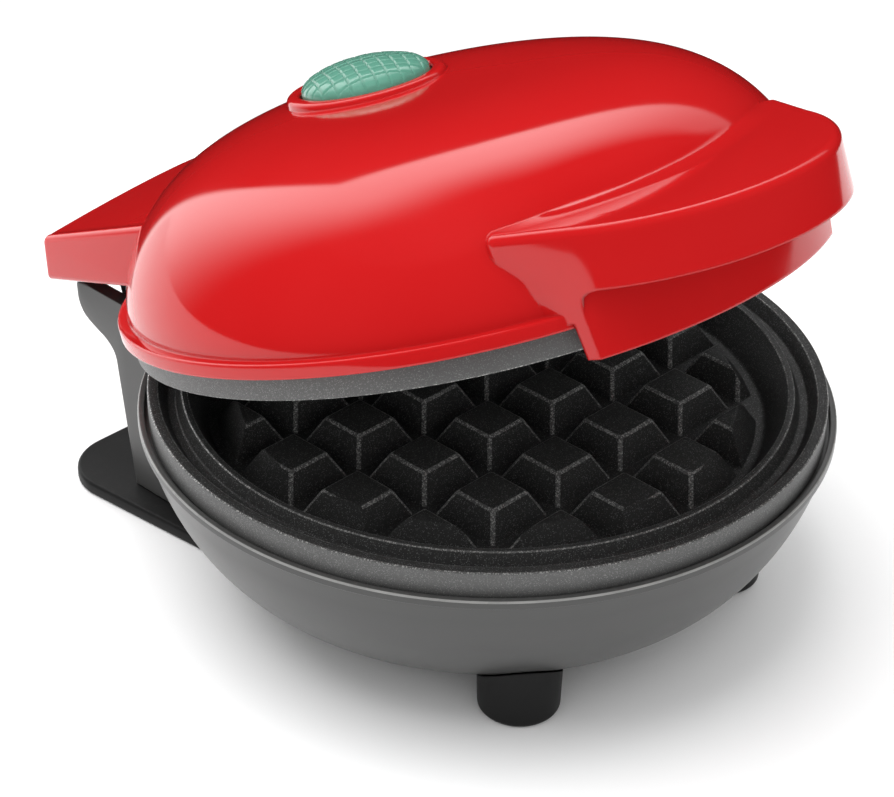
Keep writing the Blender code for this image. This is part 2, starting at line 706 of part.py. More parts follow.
def bowl_outer(name, growth=0):
    """The bowl's outer body, filled; growth swells it for the feet's seats."""
    bead_bottom = LIP_HEIGHT - LIP_BEAD_HEIGHT
    side = bowl_curve(BOWL_RADIUS + growth, BOWL_DEPTH + growth, (18, 33, 46, 57, 66, 73))
    return turned(name, [
        (0, LIP_HEIGHT),
        (LIP_RADIUS, LIP_HEIGHT),
        (LIP_RADIUS, bead_bottom),
        (BOWL_RADIUS + growth, bead_bottom - LIP_ROUND),
        *side,
        (BOWL_FLAT_RADIUS, BOWL_BOTTOM_Z - growth),
        (0, BOWL_BOTTOM_Z - growth),
    ])


def bowl_inner():
    """The space inside the bowl, with the ledge that the lower plate sits on."""
    seat_radius = PLATE_RADIUS + SLIP_GAP
    side = bowl_curve(BOWL_RADIUS - BOWL_WALL, BOWL_DEPTH - BOWL_WALL, (28, 43, 56, 66, 73))
    above = LIP_HEIGHT + CHEEK_HEIGHT + OVERRUN
    return turned("bowl_space", [
        (0, above),
        (seat_radius, above),
        (seat_radius, LEDGE_Z),
        (seat_radius - LEDGE_WIDTH, LEDGE_Z),
        *side,
        (BOWL_FLAT_RADIUS - BOWL_WALL, BOWL_FLOOR_Z),
        (0, BOWL_FLOOR_Z),
    ])


def mirrored(spot):
    return [spot, (-spot[0], spot[1])]


def make_lower_housing():
    """Bowl, tower and cheeks in one moulding, with bosses for everything that it holds."""
    housing = bowl_outer("lower_housing")
    join(housing, make_tower())
    sink = BOWL_WALL / 2
    for index, spot in enumerate(mirrored(STAND_SCREW_REAR)):
        join(housing, cylinder(f"rear_stand_boss_{index}", STAND_BOSS_RADIUS, BOWL_BOTTOM_Z,
                               BAY_Z - BAY_FLOOR / 2, spot, steps=SMALL_STEPS))
    cut(housing, bowl_inner())

    for index, spot in enumerate(mirrored(STAND_SCREW_FRONT)):
        join(housing, cylinder(f"front_stand_boss_{index}", STAND_BOSS_RADIUS, BOWL_FLOOR_Z - sink,
                               BOWL_BOTTOM_Z + STAND_BOSS_HEIGHT, spot, steps=SMALL_STEPS))
    for index, spot in enumerate(mirrored(STAND_SCREW_FRONT) + mirrored(STAND_SCREW_REAR)):
        cut(housing, cylinder(f"stand_screw_hole_{index}", SCREW_HOLE_RADIUS, BOWL_BOTTOM_Z - OVERRUN,
                              STAND_TOP_Z + STAND_SCREW_LENGTH, spot))

    for index, spot in enumerate(ring_places(PLATE_BOSS_CIRCLE, BOSS_ANGLES)):
        join(housing, cylinder(f"plate_post_{index}", SCREW_HEAD_RADIUS + SCREW_HEAD_ROOM + BOWL_WALL / 2,
                               BOWL_FLOOR_Z - sink, LOWER_BOSS_TOP_Z, spot, steps=SMALL_STEPS))
        cut(housing, cylinder(f"plate_post_bore_{index}", SCREW_HOLE_RADIUS, BOWL_BOTTOM_Z - OVERRUN,
                              LOWER_BOSS_TOP_Z + OVERRUN, spot))
        cut(housing, cylinder(f"plate_post_recess_{index}", SCREW_HEAD_RADIUS + SCREW_HEAD_ROOM,
                              BOWL_BOTTOM_Z - OVERRUN, LOWER_SCREW_SEAT_Z, spot, steps=SMALL_STEPS))

    foot_hole = FOOT_SPIGOT_RADIUS + SEAT_GAP
    for index, spot in enumerate(mirrored((FOOT_X, FOOT_Y))):
        boss = cylinder(f"foot_boss_{index}", foot_hole + FOOT_BOSS_WALL, BOWL_BOTTOM_Z,
                        FOOT_SPIGOT_TOP_Z + SEAT_GAP + FOOT_BOSS_WALL, spot, steps=SMALL_STEPS)
        join(housing, combine(boss, bowl_outer(f"foot_boss_limit_{index}", -sink), "INTERSECT"))
        cut(housing, cylinder(f"foot_hole_{index}", foot_hole, BOWL_BOTTOM_Z - OVERRUN,
                              FOOT_SPIGOT_TOP_Z + SEAT_GAP, spot, steps=SMALL_STEPS))

    pad_x, pad_y = BLOCK_SIZE[0] / 2 + sink, BLOCK_SIZE[1] / 2
    join(housing, box("terminal_pad", (-pad_x, BLOCK_Y - pad_y, BOWL_FLOOR_Z - sink),
                      (pad_x, BLOCK_Y + pad_y, BOWL_FLOOR_Z + BLOCK_PAD_HEIGHT)))
    window_z = LIP_HEIGHT - LEAD_WINDOW_DROP
    cut(housing, box("lead_window", (-LEAD_WINDOW_WIDTH / 2, BLOCK_Y + BLOCK_SIZE[1], window_z),
                     (LEAD_WINDOW_WIDTH / 2, TOWER_FOOT_REAR - TOWER_WALL, window_z + LEAD_WINDOW_HEIGHT)))
    cut(housing, gland_shape("gland_hole", [
        (GLAND_NECK_RADIUS + SEAT_GAP, OVERRUN), (GLAND_NECK_RADIUS + SEAT_GAP, -TOWER_WALL - OVERRUN)]))
    cut(housing, cylinder("pin_holes", PIN_RADIUS + PIN_CLEARANCE, -TOWER_HALF_WIDTH - OVERRUN,
                          TOWER_HALF_WIDTH + OVERRUN, (PIVOT_Y, PIVOT_Z), axis="X", steps=SMALL_STEPS))
    return as_part(housing, DARK_GREY)


def gland_shape(name, profile, ring=False):
    """A turned shape square to the tower's rear wall; height 0 is the wall's outer face."""
    centre_z = BOWL_BOTTOM_Z + GLAND_RISE
    if not ring:
        profile = [(0, profile[0][1]), *profile, (0, profile[-1][1])]
    item = turned(name, profile, SMALL_STEPS, (0, tower_rear_y(centre_z), centre_z), ring)
    item.rotation_euler.x = -math.pi / 2 - tower_lean()
    return item


def make_gland():
    """The bush that the cord comes in by: outer flange, neck and inner flange round a bore."""
    wall = TOWER_WALL * math.cos(tower_lean())
    inner_face = -wall - SEAT_GAP
    return as_part(gland_shape("cord_gland", [
        (GLAND_BORE, SEAT_GAP + GLAND_FLANGE),
        (GLAND_FLANGE_RADIUS - LIP_ROUND, SEAT_GAP + GLAND_FLANGE),
        (GLAND_FLANGE_RADIUS, GLAND_FLANGE),
        (GLAND_FLANGE_RADIUS, SEAT_GAP),
        (GLAND_NECK_RADIUS, SEAT_GAP),
        (GLAND_NECK_RADIUS, inner_face),
        (GLAND_NECK_RADIUS + GLAND_FLANGE, inner_face),
        (GLAND_NECK_RADIUS, inner_face - GLAND_FLANGE),
        (GLAND_BORE, inner_face - GLAND_FLANGE),
    ], ring=True), RUBBER)


def arc(centre, radius, start, end, steps):
    """Points of an arc in a plane, from one angle to another, both ends included."""
    points = []
    for step in range(steps + 1):
        angle = start + (end - start) * step / steps
        points.append((centre[0] + radius * math.cos(angle), centre[1] + radius * math.sin(angle)))
    return points


def stand_outline():
    """Half of the stand plate's plan mirrored into the whole, rear corners rounded."""
    corner = (STAND_REAR_HALF_WIDTH - STAND_REAR_CORNER, STAND_REAR - STAND_REAR_CORNER)
    right = [
        (STAND_NARROW_HALF_WIDTH - STAND_CORNER, STAND_FRONT),
        (STAND_NARROW_HALF_WIDTH, STAND_FRONT + STAND_CORNER),
        (STAND_NARROW_HALF_WIDTH, STAND_NARROW_Y),
        (STAND_TAPER_HALF_WIDTH, TOWER_FRONT),
        (STAND_TAPER_HALF_WIDTH, STAND_TAPER_FRONT),
        *arc(corner, STAND_REAR_CORNER, 0, math.pi / 2, 6),
    ]
    return right + [(-x, y) for x, y in reversed(right)]


def make_stand():
    """The flat rear foot and its screws."""
    stand = rounded(prism("stand_plate", stand_outline(), 0, STAND_TOP_Z), STAND_EDGE_ROUND)
    spots = mirrored(STAND_SCREW_FRONT) + mirrored(STAND_SCREW_REAR)
    seat = SCREW_HEAD_HEIGHT + SCREW_HEAD_ROOM + SEAT_GAP
    for index, spot in enumerate(spots):
        cut(stand, cylinder(f"stand_bore_{index}", SCREW_HOLE_RADIUS, -OVERRUN, STAND_TOP_Z + OVERRUN, spot))
        cut(stand, cylinder(f"stand_recess_{index}", SCREW_HEAD_RADIUS + SEAT_GAP, -OVERRUN, seat, spot,
                            steps=SMALL_STEPS))
        make_screw(f"stand_screw_{index + 1}", STAND_TOP_Z - seat + STAND_SCREW_LENGTH - SCREW_END_ROOM,
                   (*spot, seat - SEAT_GAP))
    as_part(stand, BLACK)


def make_feet():
    """Two round front feet, each with a spigot up into its boss."""
    for side, x in (("left", -FOOT_X), ("right", FOOT_X)):
        foot = turned(f"front_foot_{side}", [
            (0, LIP_HEIGHT / 2),
            (FOOT_RADIUS, LIP_HEIGHT / 2),
            (FOOT_TIP_RADIUS, FOOT_EDGE_ROUND),
            (FOOT_TIP_RADIUS - FOOT_EDGE_ROUND * (1 - math.sin(math.pi / 4)),
             FOOT_EDGE_ROUND * (1 - math.cos(math.pi / 4))),
            (FOOT_TIP_RADIUS - FOOT_EDGE_ROUND, 0),
            (0, 0),
        ], SMALL_STEPS + 4, (x, FOOT_Y, 0))
        cut(foot, bowl_outer(f"foot_seat_{side}", SEAT_GAP))
        join(foot, cylinder(f"foot_spigot_{side}", FOOT_SPIGOT_RADIUS, FOOT_RADIUS / 2, FOOT_SPIGOT_TOP_Z,
                            (x, FOOT_Y), steps=SMALL_STEPS))
        as_part(foot, BLACK)


def make_base_works():
    """Everything that the lower housing holds under the lower plate."""
    plate = make_plate("lower_plate")
    plate.location.z = LOWER_RIM_Z
    make_element("lower_element", LOWER_RIM_Z - ELEMENT_AXIS)
    spots = ring_places(PLATE_BOSS_CIRCLE, BOSS_ANGLES)
    make_shield("lower_heat_shield", LOWER_RIM_Z - SHIELD_NEAR, LOWER_RIM_Z - SHIELD_FAR, spots)
    reach = LOWER_RIM_Z - WELL_DEPTH - PLATE_BOSS_ROOF - SCREW_END_ROOM - LOWER_SCREW_SEAT_Z
    for index, spot in enumerate(spots):
        make_screw(f"lower_plate_screw_{index + 1}", reach, (*spot, LOWER_SCREW_SEAT_Z - SEAT_GAP))

    back_z = LOWER_RIM_Z - PLATE_BACK - SEAT_GAP
    body = cylinder("thermostat", THERMOSTAT_RADIUS, back_z - THERMOSTAT_HEIGHT, back_z, steps=SMALL_STEPS)
    tag_x, tag_y, tag_z = THERMOSTAT_TAG
    tag_top = back_z - THERMOSTAT_TAG_DROP
    join(body, box("thermostat_tags", (-THERMOSTAT_RADIUS - tag_x, -tag_y / 2, tag_top - tag_z),
                   (THERMOSTAT_RADIUS + tag_x, tag_y / 2, tag_top)))
    as_part(body, CERAMIC)

    fuse_x, fuse_y = FUSE_PLACE
    as_part(cylinder("thermal_fuse", FUSE_RADIUS, fuse_x - FUSE_LENGTH / 2, fuse_x + FUSE_LENGTH / 2,
                     (fuse_y, back_z - FUSE_RADIUS), axis="X"), STEEL)
    make_terminal_block()


def make_terminal_block():
    """The block on its pad, and the leads that rise from it to the element's pins."""
    long, wide, high = BLOCK_SIZE
    low_z = BOWL_FLOOR_Z + BLOCK_PAD_HEIGHT + SEAT_GAP
    block = box("terminal_block", (-long / 2, BLOCK_Y - wide / 2, low_z),
                (long / 2, BLOCK_Y + wide / 2, low_z + high))
    cut(block, box("terminal_slot", (-BLOCK_SLOT / 2, BLOCK_Y - wide, low_z + high - BLOCK_SLOT_DEPTH),
                   (BLOCK_SLOT / 2, BLOCK_Y + wide, low_z + high + OVERRUN)))
    as_part(block, CERAMIC)

    pin_z = LOWER_RIM_Z - ELEMENT_AXIS
    pin_end = ELEMENT_LEG_END + ELEMENT_PIN_LENGTH + SEAT_GAP
    leg_x = ELEMENT_LEG_SPACING / 2
    low_route_z = LIP_HEIGHT - LEAD_LOW_DROP
    block_x = long / 4
    for side, way in (("left", -1), ("right", 1)):
        corners = [
            (way * leg_x, pin_end, pin_z),
            (way * leg_x, LEAD_HIGH_Y, pin_z),
            (way * leg_x, LEAD_HIGH_Y - LEAD_BACK, pin_z - LEAD_FALL),
            (way * block_x, LEAD_LOW_Y, low_route_z),
            (way * block_x, BLOCK_Y + wide / 2 + SEAT_GAP, low_z + high / 2),
        ]
        as_part(tube(f"element_lead_{side}", rounded_route(corners, LEAD_BEND), LEAD_RADIUS), SLEEVE)


def make_pins():
    """Each pin's head is inside its arm; its shank runs out through arm and cheek."""
    tip = TOWER_HALF_WIDTH - SEAT_GAP
    head = ARM_INNER - SEAT_GAP
    for side, way in (("left", -1), ("right", 1)):
        pin = turned(f"hinge_pin_{side}", [
            (0, tip), (PIN_RADIUS, tip), (PIN_RADIUS, head), (PIN_HEAD_RADIUS, head),
            (PIN_HEAD_RADIUS, head - PIN_HEAD_LENGTH), (0, head - PIN_HEAD_LENGTH),
        ], SMALL_STEPS, (0, PIVOT_Y, PIVOT_Z))
        pin.rotation_euler.y = way * math.pi / 2
        as_part(pin, STEEL)


def lid_body(name, inset=0):
    """The dome and flange as one filled shape; inset draws its skin in."""
    angles = (0, 10, 20, 32, 44, 55, 65, 74, 82, 90)
    curve = [dome_point(DOME_RADIUS - inset, DOME_RISE - inset, angle) for angle in angles]
    return turned(name, [
        *curve,
        (FLANGE_RADIUS - FLANGE_ROUND - inset, DOME_START),
        (FLANGE_RADIUS - inset, DOME_START - FLANGE_ROUND),
        (FLANGE_RADIUS - inset, FLANGE_BOTTOM),
        (0, FLANGE_BOTTOM),
    ])


def lid_space():
    """What is hollow inside the dome, down through the plate's seat."""
    ledge = BAND_HEIGHT + SEAT_GAP
    seat = PLATE_RADIUS + FLANGE_CLEARANCE
    angles = (0, 11, 24, 37, 50, 62, 74, 90)
    curve = [dome_point(DOME_RADIUS - SHELL_WALL, DOME_RISE - SHELL_WALL, angle) for angle in angles]
    return turned("lid_space", [
        *curve,
        (DOME_RADIUS - SHELL_WALL, ledge),
        (seat, ledge),
        (seat, -OVERRUN),
        (0, -OVERRUN),
    ])


def handle_outline(inset=0):
    """Plan of the handle: an arc in front, and corners that turn in to the dome."""
    half = HANDLE_ARC_HALF_ANGLE
    front = arc((0, HANDLE_ARC_Y), HANDLE_ARC_RADIUS - inset, -math.pi / 2 - half, -math.pi / 2 + half,
                HANDLE_ARC_STEPS)
    corner_x = HANDLE_CORNER_X - inset
    inside_x, inside_y = corner_x - HANDLE_CORNER_RUN, HANDLE_CORNER_Y + HANDLE_CORNER_RUN
    return [(-inside_x, inside_y), (-corner_x, HANDLE_CORNER_Y), *front, (corner_x, HANDLE_CORNER_Y),
            (inside_x, inside_y)]


def skirt_front(radius, half_width, reach):
    """An outline whose rear edge is an arc about the lid's middle and whose front edge is straight."""
    half = math.asin(half_width / radius)
    rear = arc((0, 0), radius, -math.pi / 2 - half, -math.pi / 2 + half, HANDLE_ARC_STEPS)
    return [*rear, (half_width, -reach), (-half_width, -reach)]


def make_handle():
    """The handle's brim with its skirt in front of the plates, open underneath and narrower there."""
    def draft(point):
        x, y, w = point
        if w > 0:
            return point
        return Vector((x * HANDLE_FOOT_SHARE, HANDLE_ARC_Y + (y - HANDLE_ARC_Y) * HANDLE_FOOT_SHARE, w))

    handle = prism("handle_block", handle_outline(), -SKIRT_DROP, HANDLE_TOP, shape=draft)
    rounded(handle, HANDLE_TOP_ROUND)
    handle.modifiers["round"].limit_method = "WEIGHT"
    weights = handle.data.attributes.new("bevel_weight_edge", "FLOAT", "EDGE")
    for edge, weight in zip(handle.data.edges, weights.data):
        ends = [handle.data.vertices[index].co.z for index in edge.vertices]
        weight.value = 1.0 if min(ends) > HANDLE_TOP - MERGE else 0.0
    far = HANDLE_ARC_RADIUS - HANDLE_ARC_Y + OVERRUN
    plate_room = cylinder("handle_plate_room", FLANGE_RADIUS + SKIRT_CLEARANCE, -SKIRT_DROP - OVERRUN,
                          FLANGE_BOTTOM + OVERRUN / 2, steps=RING_STEPS)
    recess = prism("handle_recess", skirt_front(SKIRT_RADIUS, SKIRT_HALF_WIDTH, far), -SKIRT_DROP - OVERRUN,
                   HANDLE_BRIM)
    brim_space = prism("brim_space", handle_outline(HANDLE_WALL), HANDLE_BRIM - OVERRUN,
                       HANDLE_TOP - HANDLE_WALL)
    skirt_side = cylinder("brim_space_rear", SKIRT_RADIUS + BRIM_STEP, HANDLE_BRIM - 2 * OVERRUN, HANDLE_TOP,
                          steps=RING_STEPS)
    side_limit = prism("brim_space_sides", skirt_front(SKIRT_RADIUS - OVERRUN, SKIRT_HALF_WIDTH, far),
                       HANDLE_BRIM - 2 * OVERRUN, HANDLE_TOP)
    combine(cut(brim_space, skirt_side), side_limit, "INTERSECT")
    for item in (plate_room, recess, brim_space):
        carried(item, handle)
    for item in (skirt_side, side_limit):
        carried(item, brim_space)
    return cut(handle, plate_room, recess, brim_space)


def cover_top(x, y):
    """Height of the rear cover's crowned, sloping top."""
    crown = COVER_CROWN * (1 - (min(abs(x) / COVER_HALF_WIDTH, 1)) ** COVER_CROWN_POWER)
    return COVER_SIDE_TOP + crown + COVER_SLOPE_SHARE * (COVER_REAR - COVER_REAR_LEAN - y)


def make_cover():
    """The rear cover block over the cheeks, its rear face leaning forward to the top."""
    across = [COVER_HALF_WIDTH * (step / COVER_STEPS) for step in range(COVER_STEPS, -COVER_STEPS - 1, -1)]
    top = COVER_SIDE_TOP + COVER_CROWN
    bottom = [(-COVER_HALF_WIDTH, COVER_BOTTOM), (COVER_HALF_WIDTH, COVER_BOTTOM)]
    outline = bottom + [(x, top) for x in across]

    def shape(point):
        x, y, w = point
        if w < (COVER_BOTTOM + top) / 2:
            return point
        lean = COVER_REAR_LEAN if y > COVER_FRONT else 0
        return Vector((x, y - lean, cover_top(x, y - lean)))

    block = prism("cover_block", outline, COVER_FRONT, COVER_REAR, axis="Y", shape=shape)
    return rounded(block, COVER_EDGE_ROUND)


def cover_space():
    """The hollow that the cheeks and arms work in; it goes on down through the flange."""
    front = math.sqrt(DOME_RADIUS ** 2 - COVER_SIDE_INNER ** 2) - SEAT_GAP
    lean = COVER_REAR_LEAN / (COVER_SIDE_TOP - COVER_BOTTOM)
    rear = COVER_REAR - SHELL_WALL
    return prism("cover_space", [
        (front, -OVERRUN),
        (rear + lean * COVER_BOTTOM, -OVERRUN),
        (rear - lean * (COVER_ROOF - COVER_BOTTOM), COVER_ROOF),
        (front, COVER_ROOF),
    ], -COVER_SIDE_INNER, COVER_SIDE_INNER, axis="X")


def lens_hole():
    """The lens's way through the bezel, with a wider space below for its flange."""
    hole = LENS_RADIUS + LENS_CLEARANCE
    seat = LENS_FLANGE_RADIUS + LENS_CLEARANCE
    low = LENS_RIM_HEIGHT - SOCKET_DEPTH - SOCKET_WALL
    return turned("lens_hole", [
        (0, LENS_RIM_HEIGHT + OVERRUN),
        (hole, LENS_RIM_HEIGHT + OVERRUN),
        (hole, LENS_SEAT_W),
        (seat, LENS_SEAT_W),
        (seat, low - OVERRUN),
        (0, low - OVERRUN),
    ], SMALL_STEPS + 4, (0, LENS_Y, 0))


def make_lid_shell():
    """Dome, flange, handle, rear cover and lens bezel in one moulding."""
    shell = lid_body("lid_shell")
    bezel = turned("bezel", [
        (0, LENS_RIM_HEIGHT),
        (BEZEL_RADIUS - BEZEL_ROUND, LENS_RIM_HEIGHT),
        (BEZEL_RADIUS, LENS_RIM_HEIGHT - BEZEL_ROUND),
        (BEZEL_FOOT_RADIUS, DOME_START + DOME_RISE - 2 * SHELL_WALL),
        (0, DOME_START + DOME_RISE - 2 * SHELL_WALL),
    ], SMALL_STEPS + 4, (0, LENS_Y, 0))
    socket = cylinder("lens_socket", LENS_FLANGE_RADIUS + LENS_CLEARANCE + SOCKET_WALL,
                      LENS_RIM_HEIGHT - SOCKET_DEPTH - SOCKET_WALL, DOME_START + DOME_RISE - SHELL_WALL / 2,
                      (0, LENS_Y), steps=SMALL_STEPS + 4)
    inner_hollow = prism("handle_hollow", [
        *arc((0, 0), SKIRT_RADIUS - HANDLE_WALL, -math.pi / 2 - INNER_HOLLOW_HALF,
             -math.pi / 2 + INNER_HOLLOW_HALF, HANDLE_ARC_STEPS),
        (SKIRT_HALF_WIDTH - HANDLE_WALL, -POST_CIRCLE),
        (-SKIRT_HALF_WIDTH + HANDLE_WALL, -POST_CIRCLE),
    ], DOME_START + HANDLE_WALL / 2, HANDLE_TOP - HANDLE_WALL)
    pieces = [make_handle(), make_cover(), bezel]
    spaces = [lid_space(), cover_space(), inner_hollow]
    for item in pieces + spaces:
        carried(item, shell)
    join(shell, *pieces)
    cut(shell, *spaces)
    join(shell, carried(socket, shell))
    cut(shell, carried(lens_hole(), shell))
    for index, spot in enumerate(ring_places(POST_CIRCLE, BOSS_ANGLES)):
        post = cylinder(f"shield_post_{index}", POST_RADIUS, SHIELD_FAR + SEAT_GAP,
                        dome_height(POST_CIRCLE - POST_RADIUS) + SHELL_WALL / 2, spot, steps=SMALL_STEPS)
        bore = cylinder(f"shield_post_bore_{index}", SCREW_HOLE_RADIUS, SHIELD_FAR - OVERRUN,
                        SHIELD_FAR + SHIELD_SCREW_DEPTH, spot)
        limit = carried(lid_body(f"shield_post_limit_{index}", SHELL_WALL / 2), post)
        join(shell, carried(combine(post, limit, "INTERSECT"), shell))
        cut(shell, carried(bore, shell))
    for index, spot in enumerate(mirrored(ARM_SCREW_SPOT)):
        bore = cylinder(f"arm_screw_bore_{index}", SCREW_HOLE_RADIUS, COVER_ROOF - OVERRUN,
                        COVER_ROOF + ARM_SCREW_DEPTH, spot)
        cut(shell, carried(bore, shell))
    return as_part(shell, RED)


def make_lens():
    """The domed lens: a shell with a flange that sits under the bezel."""
    flange_top = LENS_SEAT_W - SEAT_GAP
    flange_bottom = flange_top - LENS_FLANGE
    outside, inside = [], []
    steps = 6
    for step in range(steps + 1):
        angle = math.pi / 2 * step / steps
        outside.append((LENS_RADIUS * math.sin(angle), LENS_RIM_HEIGHT + LENS_BULGE * math.cos(angle)))
        inside.append(((LENS_RADIUS - LENS_WALL) * math.sin(angle),
                       LENS_RIM_HEIGHT + (LENS_BULGE - LENS_WALL) * math.cos(angle)))
    return as_part(turned("indicator_lens", [
        *outside,
        (LENS_RADIUS, flange_top),
        (LENS_FLANGE_RADIUS, flange_top),
        (LENS_FLANGE_RADIUS, flange_bottom),
        (LENS_RADIUS - LENS_WALL, flange_bottom),
        *reversed(inside),
    ], SMALL_STEPS + 4, (0, LENS_Y, 0)), MINT)


def make_lamp():
    """A small indicator lamp standing in its holder on the upper shield."""
    foot = SHIELD_FAR + SEAT_GAP
    bore_foot = foot + SHELL_WALL
    bore = LAMP_RADIUS + SEAT_GAP
    top = foot + LAMP_HOLDER_HEIGHT
    holder = turned("lamp_holder", [
        (0, bore_foot), (bore, bore_foot), (bore, top), (LAMP_HOLDER_RADIUS, top),
        (LAMP_HOLDER_RADIUS, foot), (0, foot),
    ], SMALL_STEPS, (0, LENS_Y, 0))
    lamp_foot = bore_foot + SEAT_GAP
    shoulder = lamp_foot + LAMP_LENGTH
    slant = math.sqrt(0.5)
    lamp = turned("indicator_lamp", [
        (0, shoulder + LAMP_RADIUS),
        (LAMP_RADIUS * slant, shoulder + LAMP_RADIUS * slant),
        (LAMP_RADIUS, shoulder),
        (LAMP_RADIUS, lamp_foot),
        (0, lamp_foot),
    ], SMALL_STEPS, (0, LENS_Y, 0))
    return [as_part(holder, CERAMIC), as_part(lamp, GLASS)]


def arm_outline():
    """Side view of a hinge arm as (y, w): a round eye on the pivot and a straight stem up to its foot."""
    eye = arc((PIVOT_Y, LID_PIVOT_W), ARM_EYE_RADIUS, -math.pi, 0, 10)
    return [*eye, (PIVOT_Y + ARM_EYE_RADIUS, ARM_TOP), (PIVOT_Y - ARM_EYE_RADIUS, ARM_TOP)]


def make_arms():
    """Left and right hinge arms with their screws."""
    made = []
    for side, way in (("left", -1), ("right", 1)):
        low, high = sorted((way * ARM_INNER, way * ARM_OUTER))
        arm = prism(f"hinge_arm_{side}", arm_outline(), low, high, axis="X")
        foot_ends = way * (ARM_OUTER - ARM_FOOT_WIDTH), way * (ARM_INNER + ARM_THICKNESS / 2)
        foot_low, foot_high = sorted(foot_ends)
        foot = box(f"arm_foot_{side}", (foot_low, PIVOT_Y - ARM_FOOT_FRONT, ARM_TOP - ARM_FOOT_THICKNESS),
                   (foot_high, PIVOT_Y + ARM_EYE_RADIUS, ARM_TOP))
        hole = cylinder(f"arm_pin_hole_{side}", PIN_RADIUS + PIN_CLEARANCE, low - OVERRUN, high + OVERRUN,
                        (PIVOT_Y, LID_PIVOT_W), axis="X", steps=SMALL_STEPS)
        screw_x, screw_y = ARM_SCREW_SPOT
        bore = cylinder(f"arm_screw_hole_{side}", SCREW_HOLE_RADIUS, ARM_TOP - ARM_FOOT_THICKNESS - OVERRUN,
                        ARM_TOP + OVERRUN, (way * screw_x, screw_y))
        for item in (foot, hole, bore):
            carried(item, arm)
        cut(join(arm, foot), hole, bore)
        made.append(as_part(arm, BLACK))
        seat = ARM_TOP - ARM_FOOT_THICKNESS - SEAT_GAP
        made.append(make_screw(f"arm_screw_{side}", COVER_ROOF + ARM_SCREW_DEPTH - SCREW_END_ROOM - seat,
                               (way * screw_x, screw_y, seat)))
    return made


def make_lid():
    """Build the lid flat in its own frame, then hang it on the hinge and open it."""
    plate = make_plate("upper_plate")
    plate.rotation_euler.y = math.pi
    plate_spots = ring_places(PLATE_BOSS_CIRCLE, BOSS_ANGLES)
    post_spots = ring_places(POST_CIRCLE, BOSS_ANGLES)
    pieces = [
        make_lid_shell(),
        plate,
        make_element("upper_element", ELEMENT_AXIS),
        make_shield("upper_heat_shield", SHIELD_NEAR, SHIELD_FAR, plate_spots + post_spots),
        make_lens(),
        *make_lamp(),
        *make_arms(),
    ]
    plate_reach = SHIELD_FAR + SEAT_GAP - WELL_DEPTH - PLATE_BOSS_ROOF - SCREW_END_ROOM
    for index, (x, y) in enumerate(plate_spots):
        pieces.append(make_screw(f"upper_plate_screw_{index + 1}", plate_reach, (x, y, SHIELD_FAR + SEAT_GAP),
                                 head_down=False))
    seat = SHIELD_NEAR - SEAT_GAP
    for index, (x, y) in enumerate(post_spots):
        pieces.append(make_screw(f"upper_shield_screw_{index + 1}",
                                 SHIELD_FAR + SHIELD_SCREW_DEPTH - SCREW_END_ROOM - seat, (x, y, seat)))

    hinge = bpy.data.objects.new("lid_hinge", None)
    PARTS.objects.link(hinge)
    hinge.location = (0, PIVOT_Y, PIVOT_Z)
    hinge.rotation_euler.x = -OPEN_ANGLE
    for item in pieces:
        carried(item, hinge)
        item.location = Vector(item.location) + Vector((0, -PIVOT_Y, CLOSED_PLANE_Z - PIVOT_Z))


clear_scene()
PARTS = make_collection("mini_waffle_maker")
CUTTERS = make_collection("cutters")
make_lower_housing()
make_base_works()
make_stand()
make_feet()
make_gland()
make_pins()
make_lid()
bpy.context.view_layer.update()
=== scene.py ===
"""Looks of a mini waffle maker: fine pieces, finishes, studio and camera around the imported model.

Metres, +Z up. The origin lies on the standing surface under the middle of the bowl, the handle points to -Y
and the hinge is at +Y. Lid pieces are shaped flat in the lid's own frame, where height is measured from the
upper plate's rim, and are then hung on the hinge and opened.
"""
import logging
import math
from collections.abc import Callable
from dataclasses import dataclass
from enum import Enum

import bmesh
import bpy
from mathutils import Matrix, Vector


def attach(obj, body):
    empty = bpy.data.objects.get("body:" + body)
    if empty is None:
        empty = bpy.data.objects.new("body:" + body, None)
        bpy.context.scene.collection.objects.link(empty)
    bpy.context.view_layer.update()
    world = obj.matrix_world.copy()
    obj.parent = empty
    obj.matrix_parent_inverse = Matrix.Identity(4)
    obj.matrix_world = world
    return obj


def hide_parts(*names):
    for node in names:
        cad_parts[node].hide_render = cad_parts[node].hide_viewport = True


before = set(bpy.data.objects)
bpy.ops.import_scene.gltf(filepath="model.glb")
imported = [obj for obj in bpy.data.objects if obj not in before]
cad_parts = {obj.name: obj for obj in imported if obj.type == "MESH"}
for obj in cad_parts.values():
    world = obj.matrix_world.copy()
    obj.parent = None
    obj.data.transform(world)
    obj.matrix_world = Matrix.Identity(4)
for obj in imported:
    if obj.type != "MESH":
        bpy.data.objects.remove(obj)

REPORT = logging.getLogger("waffle_maker")
MERGE = 0.000004
OVERRUN = 0.002
SEAT_GAP = 0.0003
FULL_TURN = 2 * math.pi
UP = (0.0, 0.0, 1.0)

ROUND_STEPS = 192
MIDDLE_STEPS = 96
SMALL_STEPS = 48
CRISP_ANGLE = math.radians(40)

Skin = bmesh.types.BMesh
Item = bpy.types.Object
Material = bpy.types.Material
Tree = bpy.types.NodeTree
Node = bpy.types.Node
Socket = bpy.types.NodeSocket
Point = tuple[float, float]
Place = tuple[float, float, float]
Colour = tuple[float, float, float]


class Way(Enum):
    """How one solid works on another."""

    JOIN = "UNION"
    CUT = "DIFFERENCE"
    KEEP = "INTERSECT"


class Axis(Enum):
    """The axis that an outline is drawn out along."""

    X = "x"
    Y = "y"
    Z = "z"


class Body(Enum):
    """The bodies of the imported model."""

    BASE = "base"
    LID = "lid"


